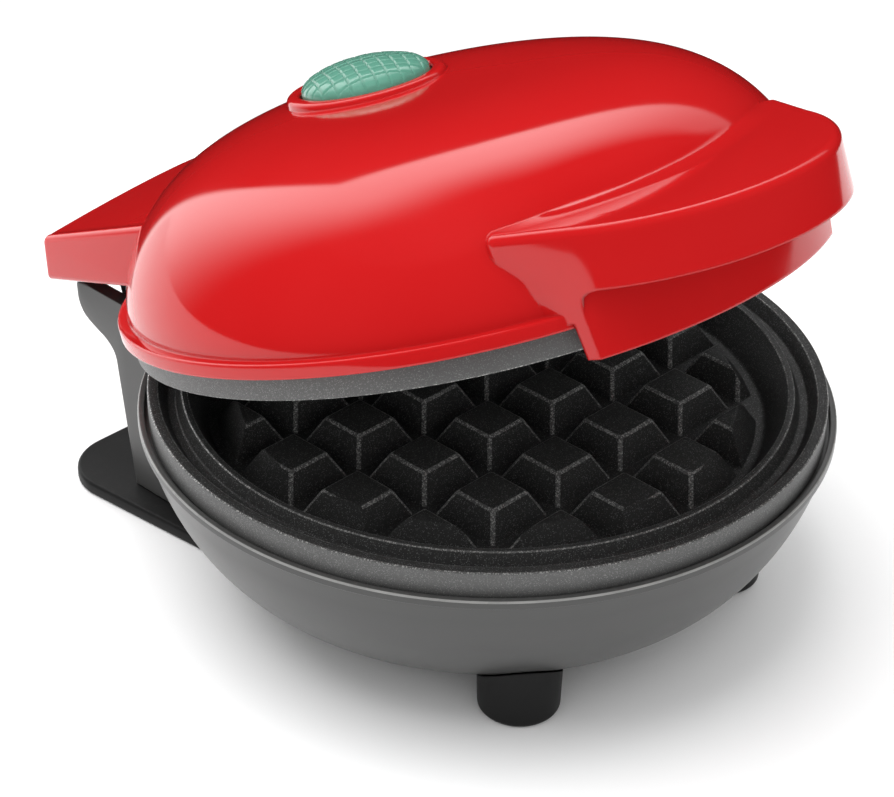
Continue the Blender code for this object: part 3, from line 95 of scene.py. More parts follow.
class Slot(Enum):
    """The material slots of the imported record."""

    RED = "red_plastic"
    GREY = "grey_plastic"
    BLACK = "black_plastic"
    NONSTICK = "nonstick"
    STEEL = "steel"
    SHEATH = "sheath"
    SHEET = "sheet"
    CERAMIC = "ceramic"
    SLEEVING = "sleeving"
    RUBBER = "rubber"
    MINT = "mint_plastic"
    GLASS = "lamp_glass"


# Solids


def stood(name: str, data: bpy.types.ID) -> Item:
    """Stand data in the scene as an object, and return it."""
    item = bpy.data.objects.new(name, data)
    bpy.context.scene.collection.objects.link(item)
    return item


class Solid:
    """A closed skin that is shaped by joining other solids to it and cutting them from it."""

    def __init__(self, skin: Skin) -> None:
        """Keep a bmesh as a mesh of its own.

        Args:
            skin: The closed skin, which is used up.
        """
        bmesh.ops.recalc_face_normals(skin, faces=skin.faces)
        mesh = bpy.data.meshes.new("solid")
        skin.to_mesh(mesh)
        skin.free()
        self.item = stood("solid", mesh)

    def work(self, other: "Solid", way: Way) -> "Solid":
        """Join, cut or keep what another solid covers, and use that solid up.

        Args:
            other: The solid that works on this one.
            way: Whether it is joined, cut off or kept in common.

        Returns:
            This solid.
        """
        step = self.item.modifiers.new("work", "BOOLEAN")
        step.operation = way.value
        step.solver = "EXACT"
        step.object = other.item
        seen = self.item.evaluated_get(bpy.context.evaluated_depsgraph_get())
        mesh = bpy.data.meshes.new_from_object(seen)
        self.item.modifiers.clear()
        spent = self.item.data
        self.item.data = mesh
        bpy.data.meshes.remove(spent)
        other.drop()
        return self

    def join(self, *others: "Solid") -> "Solid":
        """Join other solids to this one, and return it."""
        for other in others:
            self.work(other, Way.JOIN)
        return self

    def cut(self, *others: "Solid") -> "Solid":
        """Cut other solids from this one, and return it."""
        for other in others:
            self.work(other, Way.CUT)
        return self

    def keep(self, *others: "Solid") -> "Solid":
        """Keep what this solid has in common with others, and return it."""
        for other in others:
            self.work(other, Way.KEEP)
        return self

    def moved(self, place: Matrix) -> "Solid":
        """Move the mesh itself, and return this solid."""
        self.item.data.transform(place)
        if place.determinant() < 0:
            self.item.data.flip_normals()
        return self

    def copy(self) -> "Solid":
        """Return a second solid of the same shape."""
        skin = bmesh.new()
        skin.from_mesh(self.item.data)
        return Solid(skin)

    def drop(self) -> None:
        """Remove this solid from the scene."""
        mesh = self.item.data
        bpy.data.objects.remove(self.item, do_unlink=True)
        bpy.data.meshes.remove(mesh)


def filleted(corners: list[Place], steps: int = 5) -> list[Point]:
    """Round the corners of an open line.

    Args:
        corners: Points of the line with the radius that each is rounded to, 0 for a sharp one.
        steps: Steps of each rounding.

    Returns:
        The points of the rounded line.
    """
    line: list[Point] = []
    last = len(corners) - 1
    for index, (across, up, radius) in enumerate(corners):
        if radius == 0 or index in (0, last):
            line.append((across, up))
            continue
        at = Vector((across, up, 0))
        back = (Vector((*corners[index - 1][:2], 0)) - at).normalized()
        ahead = (Vector((*corners[index + 1][:2], 0)) - at).normalized()
        half = back.angle(ahead) / 2
        middle = at + (back + ahead).normalized() * radius / math.sin(half)
        reach = radius / math.tan(half)
        start, end = (at + back * reach - middle).normalized(), (at + ahead * reach - middle).normalized()
        for step in range(steps + 1):
            spot = middle + start.slerp(end, step / steps) * radius
            line.append((spot.x, spot.y))
    return line


def arc(centre: Point, radius: float, start: float, end: float, steps: int) -> list[Point]:
    """Return the points of an arc from one angle to another, both ends included."""
    angles = [start + (end - start) * step / steps for step in range(steps + 1)]
    return [(centre[0] + radius * math.cos(angle), centre[1] + radius * math.sin(angle)) for angle in angles]


def spun(profile: list[Point], steps: int = ROUND_STEPS, closed: bool = False) -> Skin:
    """Spin (radius, height) points about Z into a skin.

    Args:
        profile: Points from pole to pole, or round a ring.
        steps: Steps of the full turn.
        closed: Whether the profile closes on itself.

    Returns:
        The skin.
    """
    skin = bmesh.new()
    points = [skin.verts.new((radius, 0, height)) for radius, height in profile]
    for first, second in zip(points, points[1:]):
        skin.edges.new((first, second))
    if closed:
        skin.edges.new((points[-1], points[0]))
    bmesh.ops.spin(skin, geom=skin.verts[:] + skin.edges[:], cent=(0, 0, 0), axis=UP, angle=FULL_TURN,
                   steps=steps, use_merge=True)
    bmesh.ops.remove_doubles(skin, verts=skin.verts, dist=MERGE)
    bmesh.ops.recalc_face_normals(skin, faces=skin.faces)
    return skin


def drawn(outline: list[Point], low: float, high: float, axis: Axis = Axis.Z) -> Skin:
    """Draw an outline out along an axis.

    Args:
        outline: (y, z) points for X, (x, z) points for Y and (x, y) points for Z.
        low: Where the form starts on the axis.
        high: Where it ends.
        axis: The axis.

    Returns:
        The skin.
    """
    turn = {
        Axis.X: Matrix(((0, 0, 1, 0), (1, 0, 0, 0), (0, 1, 0, 0), (0, 0, 0, 1))),
        Axis.Y: Matrix(((1, 0, 0, 0), (0, 0, 1, 0), (0, 1, 0, 0), (0, 0, 0, 1))),
        Axis.Z: Matrix.Identity(4),
    }[axis]
    skin = bmesh.new()
    face = skin.faces.new([skin.verts.new((across, up, low)) for across, up in outline])
    grown = bmesh.ops.extrude_face_region(skin, geom=[face])["geom"]
    ends = [part for part in grown if isinstance(part, bmesh.types.BMVert)]
    bmesh.ops.translate(skin, verts=ends, vec=(0, 0, high - low))
    bmesh.ops.transform(skin, matrix=turn, verts=skin.verts)
    bmesh.ops.recalc_face_normals(skin, faces=skin.faces)
    return skin


def block(low: Place, high: Place) -> Skin:
    """Return the skin of a box between two corners."""
    near, far = Vector(low), Vector(high)
    skin = bmesh.new()
    place = Matrix.Translation((near + far) / 2) @ Matrix.Diagonal((*(far - near), 1))
    bmesh.ops.create_cube(skin, size=1, matrix=place)
    return skin


def rod(radius: float, low: float, high: float, spot: Point = (0, 0), steps: int = SMALL_STEPS) -> Skin:
    """Return the skin of an upright round bar between two heights at a spot."""
    skin = bmesh.new()
    place = Matrix.Translation((*spot, (low + high) / 2))
    bmesh.ops.create_cone(skin, cap_ends=True, segments=steps, radius1=radius, radius2=radius,
                          depth=high - low, matrix=place)
    return skin


def rods(radius: float, low: float, high: float, spots: list[Point]) -> list[Skin]:
    """Return the skin of an upright round bar at each spot."""
    return [rod(radius, low, high, spot) for spot in spots]


def stepped_bores(radii: Point, heights: Place, spots: list[Point]) -> list[Skin]:
    """Return an upright screw bore at each spot, with a wide end for the head.

    Args:
        radii: Of the wide end and of the narrow one.
        heights: Where the bore starts, where the head's seat is and where the bore ends.
        spots: Where the bores are.

    Returns:
        The skins of the bores.
    """
    (wide, narrow), (low, seat, high) = radii, heights
    profile = [(0, low), (wide, low), (wide, seat), (narrow, seat), (narrow, high), (0, high)]
    return [put(spun(profile, SMALL_STEPS), Matrix.Translation((*spot, 0))) for spot in spots]


def gathered(*skins: Skin) -> Skin:
    """Put skins that don't touch each other into the first one, and return it."""
    kept = skins[0]
    for skin in skins[1:]:
        mesh = bpy.data.meshes.new("gathered")
        skin.to_mesh(mesh)
        skin.free()
        kept.from_mesh(mesh)
        bpy.data.meshes.remove(mesh)
    return kept


def put(skin: Skin, place: Matrix) -> Skin:
    """Move a skin, and return it."""
    bmesh.ops.transform(skin, matrix=place, verts=skin.verts)
    return skin


def rounded(skin: Skin, width: float, segments: int = 4, limit: float = CRISP_ANGLE,
            chosen: list[bmesh.types.BMEdge] | None = None) -> Skin:
    """Round edges of a skin.

    Args:
        skin: The skin.
        width: Width of the rounding.
        segments: Steps of the rounding.
        limit: Only edges that turn more than this are rounded, unless edges are chosen.
        chosen: The edges to round.

    Returns:
        The skin.
    """
    edges = chosen or [edge for edge in skin.edges if edge.calc_face_angle(0) > limit]
    bmesh.ops.bevel(skin, geom=edges, offset=width, offset_type="OFFSET", segments=segments, profile=0.5,
                    affect="EDGES", clamp_overlap=True, material=-1)
    return skin


def edges_where(skin: Skin, test: Callable[[Vector], bool]) -> list[bmesh.types.BMEdge]:
    """Return the edges whose two ends both pass a test of their place."""
    return [edge for edge in skin.edges if all(test(vert.co) for vert in edge.verts)]


def both_sides(spot: Point) -> list[Point]:
    """Return a spot and its mirror image across the middle."""
    return [spot, (-spot[0], spot[1])]


def finished(solid: Solid, name: str, body: Body, slot: Slot, look: Material, *nodes: str,
             crease: float = math.radians(32)) -> Item:
    """Turn a solid into a named piece that rides on a body and stands for CAD nodes.

    Args:
        solid: The shaped solid.
        name: The piece's name.
        body: The body that it moves with.
        slot: The record's slot; not used.
        look: Its material.
        nodes: The CAD nodes that it stands for.
        crease: Edges that turn more than this stay crisp.

    Returns:
        The piece.
    """
    piece = solid.item
    piece.name = name
    piece.data.name = name
    piece.data.materials.clear()
    piece.data.materials.append(look)
    piece.data.shade_smooth()
    piece.data.set_sharp_from_angle(angle=crease)
    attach(piece, body.value)
    if nodes:
        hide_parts(*nodes)
    REPORT.info("%s: %d faces, rides on %s", name, len(piece.data.polygons), body.value)
    return piece


# Finishes

# Where a mix node keeps its colours, and its mixed colour
MIX_FIRST, MIX_SECOND = 6, 7
MIX_RESULT = 2
TONE_SPREAD = (0.3, 0.7)
COAT_ROUGHNESS = 0.05


class Effect:
    """A shader node group that several finishes share."""

    def __init__(self, name: str, inputs: dict[str, float], outputs: dict[str, str]) -> None:
        """Start the group with its sockets.

        Args:
            name: Name of the group.
            inputs: Name and first value of each number that goes in, beside the place.
            outputs: Name and socket kind of what comes out.
        """
        self.tree = bpy.data.node_groups.new(name, "ShaderNodeTree")
        face = self.tree.interface
        face.new_socket("Place", in_out="INPUT", socket_type="NodeSocketVector")
        for label, value in inputs.items():
            face.new_socket(label, in_out="INPUT", socket_type="NodeSocketFloat").default_value = value
        for label, kind in outputs.items():
            face.new_socket(label, in_out="OUTPUT", socket_type=kind)
        self.inlet = self.tree.nodes.new("NodeGroupInput")
        self.outlet = self.tree.nodes.new("NodeGroupOutput")

    def node(self, kind: str, values: dict[str | int, object] | None = None, **settings: object
             ) -> Node:
        """Add a node to the group; see add_node."""
        return add_node(self.tree, kind, values, **settings)

    def give(self, label: str, socket: Socket) -> None:
        """Lead a socket to one of the group's outputs."""
        self.tree.links.new(socket, self.outlet.inputs[label])


def add_node(tree: Tree, kind: str, values: dict[str | int, object] | None = None,
             **settings: object) -> Node:
    """Add a node to a tree.

    Args:
        tree: The node tree.
        kind: Kind of the node.
        values: What each input gets: another node's socket, or a value.
        settings: The node's own settings.

    Returns:
        The node.
    """
    node = tree.nodes.new(kind)
    for label, value in settings.items():
        setattr(node, label, value)
    for label, value in (values or {}).items():
        if isinstance(value, Socket):
            tree.links.new(value, node.inputs[label])
        else:
            node.inputs[label].default_value = value
    return node


def blended(tree: Tree, factor: Socket, first: Socket | Colour, second: Colour) -> Socket:
    """Mix two colours.

    Args:
        tree: The node tree that the mix is made in.
        factor: The share of the second colour.
        first: A socket that gives the first colour, or the colour itself.
        second: The second colour.

    Returns:
        The mixed colour.
    """
    start = first if isinstance(first, Socket) else (*first, 1)
    values = {"Factor": factor, MIX_FIRST: start, MIX_SECOND: (*second, 1)}
    return add_node(tree, "ShaderNodeMix", values, data_type="RGBA").outputs[MIX_RESULT]


def fresh_material(name: str) -> tuple[Material, Tree, Node]:
    """Return a new material, its node tree and its shader."""
    made = bpy.data.materials.new(name)
    made.use_nodes = True
    return made, made.node_tree, made.node_tree.nodes["Principled BSDF"]


def grain_effect() -> Effect:
    """Fine grain of a moulded skin: a height, and a slow cloudy tone.

    Returns:
        The effect, with outputs Height and Tone.
    """
    made = Effect("moulded_grain", {"Fineness": 4000.0, "Cloud": 40.0},
                  {"Height": "NodeSocketFloat", "Tone": "NodeSocketFloat"})
    into = made.inlet.outputs
    fine = made.node("ShaderNodeTexNoise", {"Vector": into["Place"], "Scale": into["Fineness"],
                                             "Detail": 2.0})
    slow = made.node("ShaderNodeTexNoise", {"Vector": into["Place"], "Scale": into["Cloud"], "Detail": 3.0})
    made.give("Height", fine.outputs["Fac"])
    made.give("Tone", slow.outputs["Fac"])
    return made


def fleck_effect() -> Effect:
    """Metal flecks in a coating: a mask and a height.

    Returns:
        The effect, with outputs Mask and Height.
    """
    made = Effect("metal_flecks", {"Fineness": 7000.0, "Cover": 0.2},
                  {"Mask": "NodeSocketFloat", "Height": "NodeSocketFloat"})
    into = made.inlet.outputs
    cells = made.node("ShaderNodeTexVoronoi", {"Vector": into["Place"], "Scale": into["Fineness"]})
    parts = made.node("ShaderNodeSeparateColor", {"Color": cells.outputs["Color"]})
    floor = made.node("ShaderNodeMath", {0: 1.0, 1: into["Cover"]}, operation="SUBTRACT")
    mask = made.node("ShaderNodeMapRange", {"Value": parts.outputs["Red"], "From Min": floor.outputs[0],
                                            "From Max": 1.0}, interpolation_type="SMOOTHSTEP")
    made.give("Mask", mask.outputs["Result"])
    made.give("Height", parts.outputs["Blue"])
    return made


def streak_effect() -> Effect:
    """Fine streaks, as a brush or a lathe leaves them: a height.

    Returns:
        The effect, with output Height.
    """
    made = Effect("fine_streaks", {"Fineness": 900.0, "Length": 0.06}, {"Height": "NodeSocketFloat"})
    into = made.inlet.outputs
    stretch = made.node("ShaderNodeCombineXYZ", {"X": into["Length"], "Y": 1.0, "Z": 1.0})
    turned = made.node("ShaderNodeVectorRotate", {"Vector": into["Place"], "Angle": math.radians(35)},
                       rotation_type="Y_AXIS")
    drawn_out = made.node("ShaderNodeVectorMath", {0: turned.outputs["Vector"], 1: stretch.outputs["Vector"]},
                          operation="MULTIPLY")
    noise = made.node("ShaderNodeTexNoise", {"Vector": drawn_out.outputs["Vector"], "Scale": into["Fineness"],
                                             "Detail": 3.0})
    made.give("Height", noise.outputs["Fac"])
    return made


def edge_effect() -> Effect:
    """Softened edges: a normal that is rounded along them.

    Returns:
        The effect, with output Normal.
    """
    made = Effect("soft_edges", {"Radius": 0.0004}, {"Normal": "NodeSocketVector"})
    bevel = made.node("ShaderNodeBevel", {"Radius": made.inlet.outputs["Radius"]}, samples=6)
    made.give("Normal", bevel.outputs["Normal"])
    return made


def dust_effect() -> Effect:
    """Thin dust on faces that look up: a mask.

    Returns:
        The effect, with output Mask.
    """
    made = Effect("thin_dust", {"Fineness": 900.0, "Amount": 0.05}, {"Mask": "NodeSocketFloat"})
    into = made.inlet.outputs
    surface = made.node("ShaderNodeNewGeometry")
    parts = made.node("ShaderNodeSeparateXYZ", {"Vector": surface.outputs["Normal"]})
    noise = made.node("ShaderNodeTexNoise", {"Vector": into["Place"], "Scale": into["Fineness"],
                                              "Detail": 4.0})
    grains = made.node("ShaderNodeMapRange", {"Value": noise.outputs["Fac"], "From Min": 0.52,
                                              "From Max": 0.7, "To Max": into["Amount"]})
    mask = made.node("ShaderNodeMath", {0: parts.outputs["Z"], 1: grains.outputs["Result"]},
                     operation="MULTIPLY", use_clamp=True)
    made.give("Mask", mask.outputs[0])
    return made


@dataclass(frozen=True)
class Workshop:
    """The shared effects, built once."""

    grain: Effect
    flecks: Effect
    streaks: Effect
    edges: Effect
    dust: Effect

    @classmethod
    def opened(cls) -> "Workshop":
        """Build every shared effect."""
        return cls(grain_effect(), fleck_effect(), streak_effect(), edge_effect(), dust_effect())


@dataclass(frozen=True)
class Groundwork:
    """A material with its grain, shade and gloss, and the sockets that a finish goes on from."""

    made: Material
    tree: Tree
    shader: Node
    place: Socket
    shade: Socket
    bump: Node

    def recoloured(self, factor: Socket, second: Colour) -> None:
        """Lay a second colour over the shade by a factor."""
        self.tree.links.new(blended(self.tree, factor, self.shade, second), self.shader.inputs["Base Color"])


@dataclass(frozen=True)
class Finish:
    """What every finish has: a name, two shades that it wanders between, and its gloss."""

    name: str
    colour: Colour
    second: Colour
    gloss: tuple[float, float]
    fineness: float = 4000.0
    cloud: float = 40.0
    depth: float = 0.00002
    strength: float = 0.2
    edge: float = 0.0004
    metallic: float = 0.0
    coat: float = 0.0
    specular: float = 0.5

    def started(self, shop: Workshop) -> Groundwork:
        """Start the material with its grain, its wandering shade and its gloss.

        Args:
            shop: The shared effects.

        Returns:
            The groundwork.
        """
        made, tree, shader = fresh_material(self.name)
        place = add_node(tree, "ShaderNodeTexCoord").outputs["Object"]
        grain = self.placed(tree, shop.grain, place, Fineness=self.fineness, Cloud=self.cloud)
        edges = self.placed(tree, shop.edges, place, Radius=self.edge)
        shade = blended(tree, grain["Tone"], self.colour, self.second)
        gloss = add_node(tree, "ShaderNodeMapRange", {
            "Value": grain["Tone"], "From Min": TONE_SPREAD[0], "From Max": TONE_SPREAD[1],
            "To Min": self.gloss[0], "To Max": self.gloss[1]})
        bump = add_node(tree, "ShaderNodeBump", {"Height": grain["Height"], "Normal": edges["Normal"],
                                                 "Strength": self.strength, "Distance": self.depth})
        for label, socket in (("Base Color", shade), ("Roughness", gloss.outputs["Result"]),
                              ("Normal", bump.outputs["Normal"])):
            tree.links.new(socket, shader.inputs[label])
        for label, value in (("Metallic", self.metallic), ("Coat Weight", self.coat),
                             ("Specular IOR Level", self.specular), ("Coat Roughness", COAT_ROUGHNESS)):
            shader.inputs[label].default_value = value
        return Groundwork(made, tree, shader, place, shade, bump)

    @staticmethod
    def placed(tree: Tree, effect: Effect, place: Socket, **values: float
               ) -> bpy.types.bpy_prop_collection:
        """Place a shared effect in a material with its own values, and return its outputs."""
        node = add_node(tree, "ShaderNodeGroup", node_tree=effect.tree)
        tree.links.new(place, node.inputs["Place"])
        for label, value in values.items():
            node.inputs[label].default_value = value
        return node.outputs

    def made(self, shop: Workshop) -> Material:
        """Build the material."""
        return self.started(shop).made


@dataclass(frozen=True)
class DustyPlastic(Finish):
    """Moulded plastic with a breath of dust on its upper faces."""

    dust: float = 0.08
    dust_colour: Colour = (0.35, 0.34, 0.33)

    def made(self, shop: Workshop) -> Material:
        """Build the material with its dust."""
        base = self.started(shop)
        dust = self.placed(base.tree, shop.dust, base.place, Amount=self.dust)
        base.recoloured(dust["Mask"], self.dust_colour)
        return base.made


@dataclass(frozen=True)
class Nonstick(Finish):
    """Dark coating full of metal flecks, lighter and brushed where its band was turned."""

    fleck_fineness: float = 9000.0
    cover: float = 0.22
    fleck_colour: Colour = (0.30, 0.30, 0.30)
    fleck_metal: float = 0.8
    streaks: float = 0.0

    def made(self, shop: Workshop) -> Material:
        """Build the material with its flecks and streaks."""
        base = self.started(shop)
        flecks = self.placed(base.tree, shop.flecks, base.place, Fineness=self.fleck_fineness,
                             Cover=self.cover)
        base.recoloured(flecks["Mask"], self.fleck_colour)
        metal = add_node(base.tree, "ShaderNodeMath", {0: flecks["Mask"], 1: self.fleck_metal},
                         operation="MULTIPLY")
        base.tree.links.new(metal.outputs[0], base.shader.inputs["Metallic"])
        height = flecks["Height"]
        if self.streaks:
            streaks = self.placed(base.tree, shop.streaks, base.place)
            height = add_node(base.tree, "ShaderNodeMath", {0: streaks["Height"], 1: self.streaks, 2: height},
                              operation="MULTIPLY_ADD").outputs[0]
        base.tree.links.new(height, base.bump.inputs["Height"])
        return base.made


@dataclass(frozen=True)
class StreakedMetal(Finish):
    """Drawn or turned metal with fine streaks."""

    length: float = 0.05

    def made(self, shop: Workshop) -> Material:
        """Build the material with its streaks."""
        base = self.started(shop)
        streaks = self.placed(base.tree, shop.streaks, base.place, Length=self.length)
        base.tree.links.new(streaks["Height"], base.bump.inputs["Height"])
        return base.made


@dataclass(frozen=True)
class ClearPlastic(Finish):
    """Tinted translucent plastic or glass."""

    transmission: float = 0.5
    ior: float = 1.49

    def made(self, shop: Workshop) -> Material:
        """Build the material with its tint and clearness."""
        base = self.started(shop)
        base.shader.inputs["Transmission Weight"].default_value = self.transmission
        base.shader.inputs["IOR"].default_value = self.ior
        return base.made


@dataclass(frozen=True)
class Palette:
    """Every finish of the waffle maker."""

    red: Material
    grey: Material
    black: Material
    nonstick: Material
    nonstick_band: Material
    nonstick_edge: Material
    grey_edge: Material
    steel: Material
    sheath: Material
    sheet: Material
    ceramic: Material
    sleeving: Material
    rubber: Material
    mint: Material
    glass: Material

    @classmethod
    def mixed(cls, shop: Workshop) -> "Palette":
        """Mix every finish from the shared effects.

        Args:
            shop: The shared effects.

        Returns:
            The palette.
        """
        return cls(
            red=Finish("glossy_red_plastic", (0.47, 0.0085, 0.0095), (0.50, 0.0105, 0.0115), (0.06, 0.10),
                       fineness=600, strength=0.04, edge=0.0006).made(shop),
            grey=DustyPlastic("satin_grey_plastic", (0.046, 0.046, 0.045), (0.054, 0.054, 0.053),
                              (0.27, 0.35), fineness=5200, strength=0.25, edge=0.0004, dust=0.05).made(shop),
            black=DustyPlastic("moulded_black_plastic", (0.008, 0.008, 0.008), (0.011, 0.011, 0.011),
                               (0.42, 0.5), fineness=4200, strength=0.12, edge=0.0004, dust=0.01,
                               specular=0.15).made(shop),
            nonstick=Nonstick("speckled_nonstick", (0.022, 0.022, 0.022), (0.029, 0.029, 0.028), (0.42, 0.5),
                              strength=0.4, depth=0.00003, edge=0.0005, cover=0.12, specular=0.35).made(shop),
            nonstick_band=Nonstick("brushed_nonstick_band", (0.078, 0.078, 0.077), (0.105, 0.105, 0.103),
                                   (0.4, 0.5), strength=0.6, depth=0.00004, edge=0.0003, cover=0.16,
                                   streaks=1.5).made(shop),
            # Lighter coating with bright flecks for the rounded rim and block edges: a painted highlight.
            nonstick_edge=Nonstick("thin_nonstick_edge", (0.05, 0.05, 0.049), (0.10, 0.10, 0.098),
                                   (0.34, 0.42), strength=0.5, depth=0.00004, edge=0.0002, cover=0.4,
                                   cloud=300, fleck_fineness=5500.0,
                                   fleck_colour=(0.62, 0.62, 0.60)).made(shop),
            # Much lighter grey for the lip's top rounding: a painted highlight.
            grey_edge=Finish("rubbed_grey_edge", (0.16, 0.16, 0.157), (0.32, 0.32, 0.31), (0.25, 0.32),
                             strength=0.1, cloud=160).made(shop),
            steel=StreakedMetal("zinc_plated_steel", (0.52, 0.51, 0.48), (0.62, 0.60, 0.55), (0.28, 0.4),
                                strength=0.3, metallic=1.0, edge=0.0002).made(shop),
            sheath=StreakedMetal("dull_steel_sheath", (0.22, 0.20, 0.18), (0.34, 0.31, 0.28), (0.42, 0.58),
                                 strength=0.4, metallic=1.0, cloud=90).made(shop),
            sheet=StreakedMetal("aluminium_sheet", (0.70, 0.70, 0.70), (0.78, 0.78, 0.78), (0.25, 0.36),
                                strength=0.3, metallic=1.0, length=0.02).made(shop),
            ceramic=Finish("glazed_ceramic", (0.66, 0.62, 0.53), (0.74, 0.70, 0.62), (0.35, 0.55),
                           fineness=2500, strength=0.25, coat=0.3).made(shop),
            sleeving=Finish("woven_sleeving", (0.55, 0.52, 0.43), (0.70, 0.67, 0.58), (0.65, 0.8),
                            fineness=3000, strength=0.8, depth=0.0001).made(shop),
            rubber=DustyPlastic("soft_rubber", (0.012, 0.012, 0.012), (0.018, 0.018, 0.018), (0.6, 0.75),
                                fineness=3500, strength=0.3, dust=0.1).made(shop),
            mint=ClearPlastic("tinted_mint_plastic", (0.13, 0.38, 0.28), (0.18, 0.46, 0.35), (0.06, 0.12),
                              fineness=900, strength=0.1, edge=0.00012, transmission=0.35).made(shop),
            glass=ClearPlastic("clear_lamp_glass", (0.90, 0.72, 0.55), (0.95, 0.80, 0.66), (0.02, 0.05),
                               strength=0.02, edge=0.0002, transmission=0.95, ior=1.5).made(shop),
        )


# Shared sizes


@dataclass(frozen=True)
class RoundSizes:
    """Round sizes that base and lid share."""

    plate_radius: float = 0.0616
    lip_radius: float = 0.0635
    lip_height: float = 0.036
    band_shown: float = 0.0044
    band_height: float = 0.0054
    plate_wall: float = 0.0022
    well_depth: float = 0.0068
    pivot_y: float = 0.0615
    pivot_rise: float = 0.0019
    closed_gap: float = 0.0003
    open_angle: float = math.radians(19.0)
    screw_circle: float = 0.026
    screw_bore: float = 0.0019
    head_radius: float = 0.0029
    head_height: float = 0.0016
    head_room: float = 0.0004
    screw_turns: tuple[float, ...] = (90, 210, 330)
    boss_length: float = 0.0076
    shield_thickness: float = 0.0008

    @property
    def rim_z(self) -> float:
        """Height of the lower plate's rim."""
        return self.lip_height + self.band_shown

    @property
    def pivot_z(self) -> float:
        """Height of the hinge's axis."""
        return self.lip_height + self.pivot_rise

    @property
    def plate_back(self) -> float:
        """Depth of a plate's back below its rim."""
        return self.well_depth + self.plate_wall

    @property
    def boss_end(self) -> float:
        """Depth of the end of a plate's bosses below its rim."""
        return self.plate_back + self.boss_length

    @property
    def shield_far(self) -> float:
        """Depth of a heat shield's far face below its plate's rim."""
        return self.boss_end + SEAT_GAP + self.shield_thickness

    def screw_spots(self, circle: float) -> list[Point]:
        """Return three spots on a circle: one to the rear and two in front."""
        return [(circle * math.cos(math.radians(turn)), circle * math.sin(math.radians(turn)))
                for turn in self.screw_turns]

    def lid_place(self) -> Matrix:
        """Return the matrix that takes the flat lid to where it stands open."""
        hinge = Matrix.Translation((0, self.pivot_y, self.pivot_z))
        flat = Matrix.Translation((0, -self.pivot_y, self.rim_z + self.closed_gap - self.pivot_z))
        return hinge @ Matrix.Rotation(-self.open_angle, 4, "X") @ flat


COMMON = RoundSizes()


# Plates


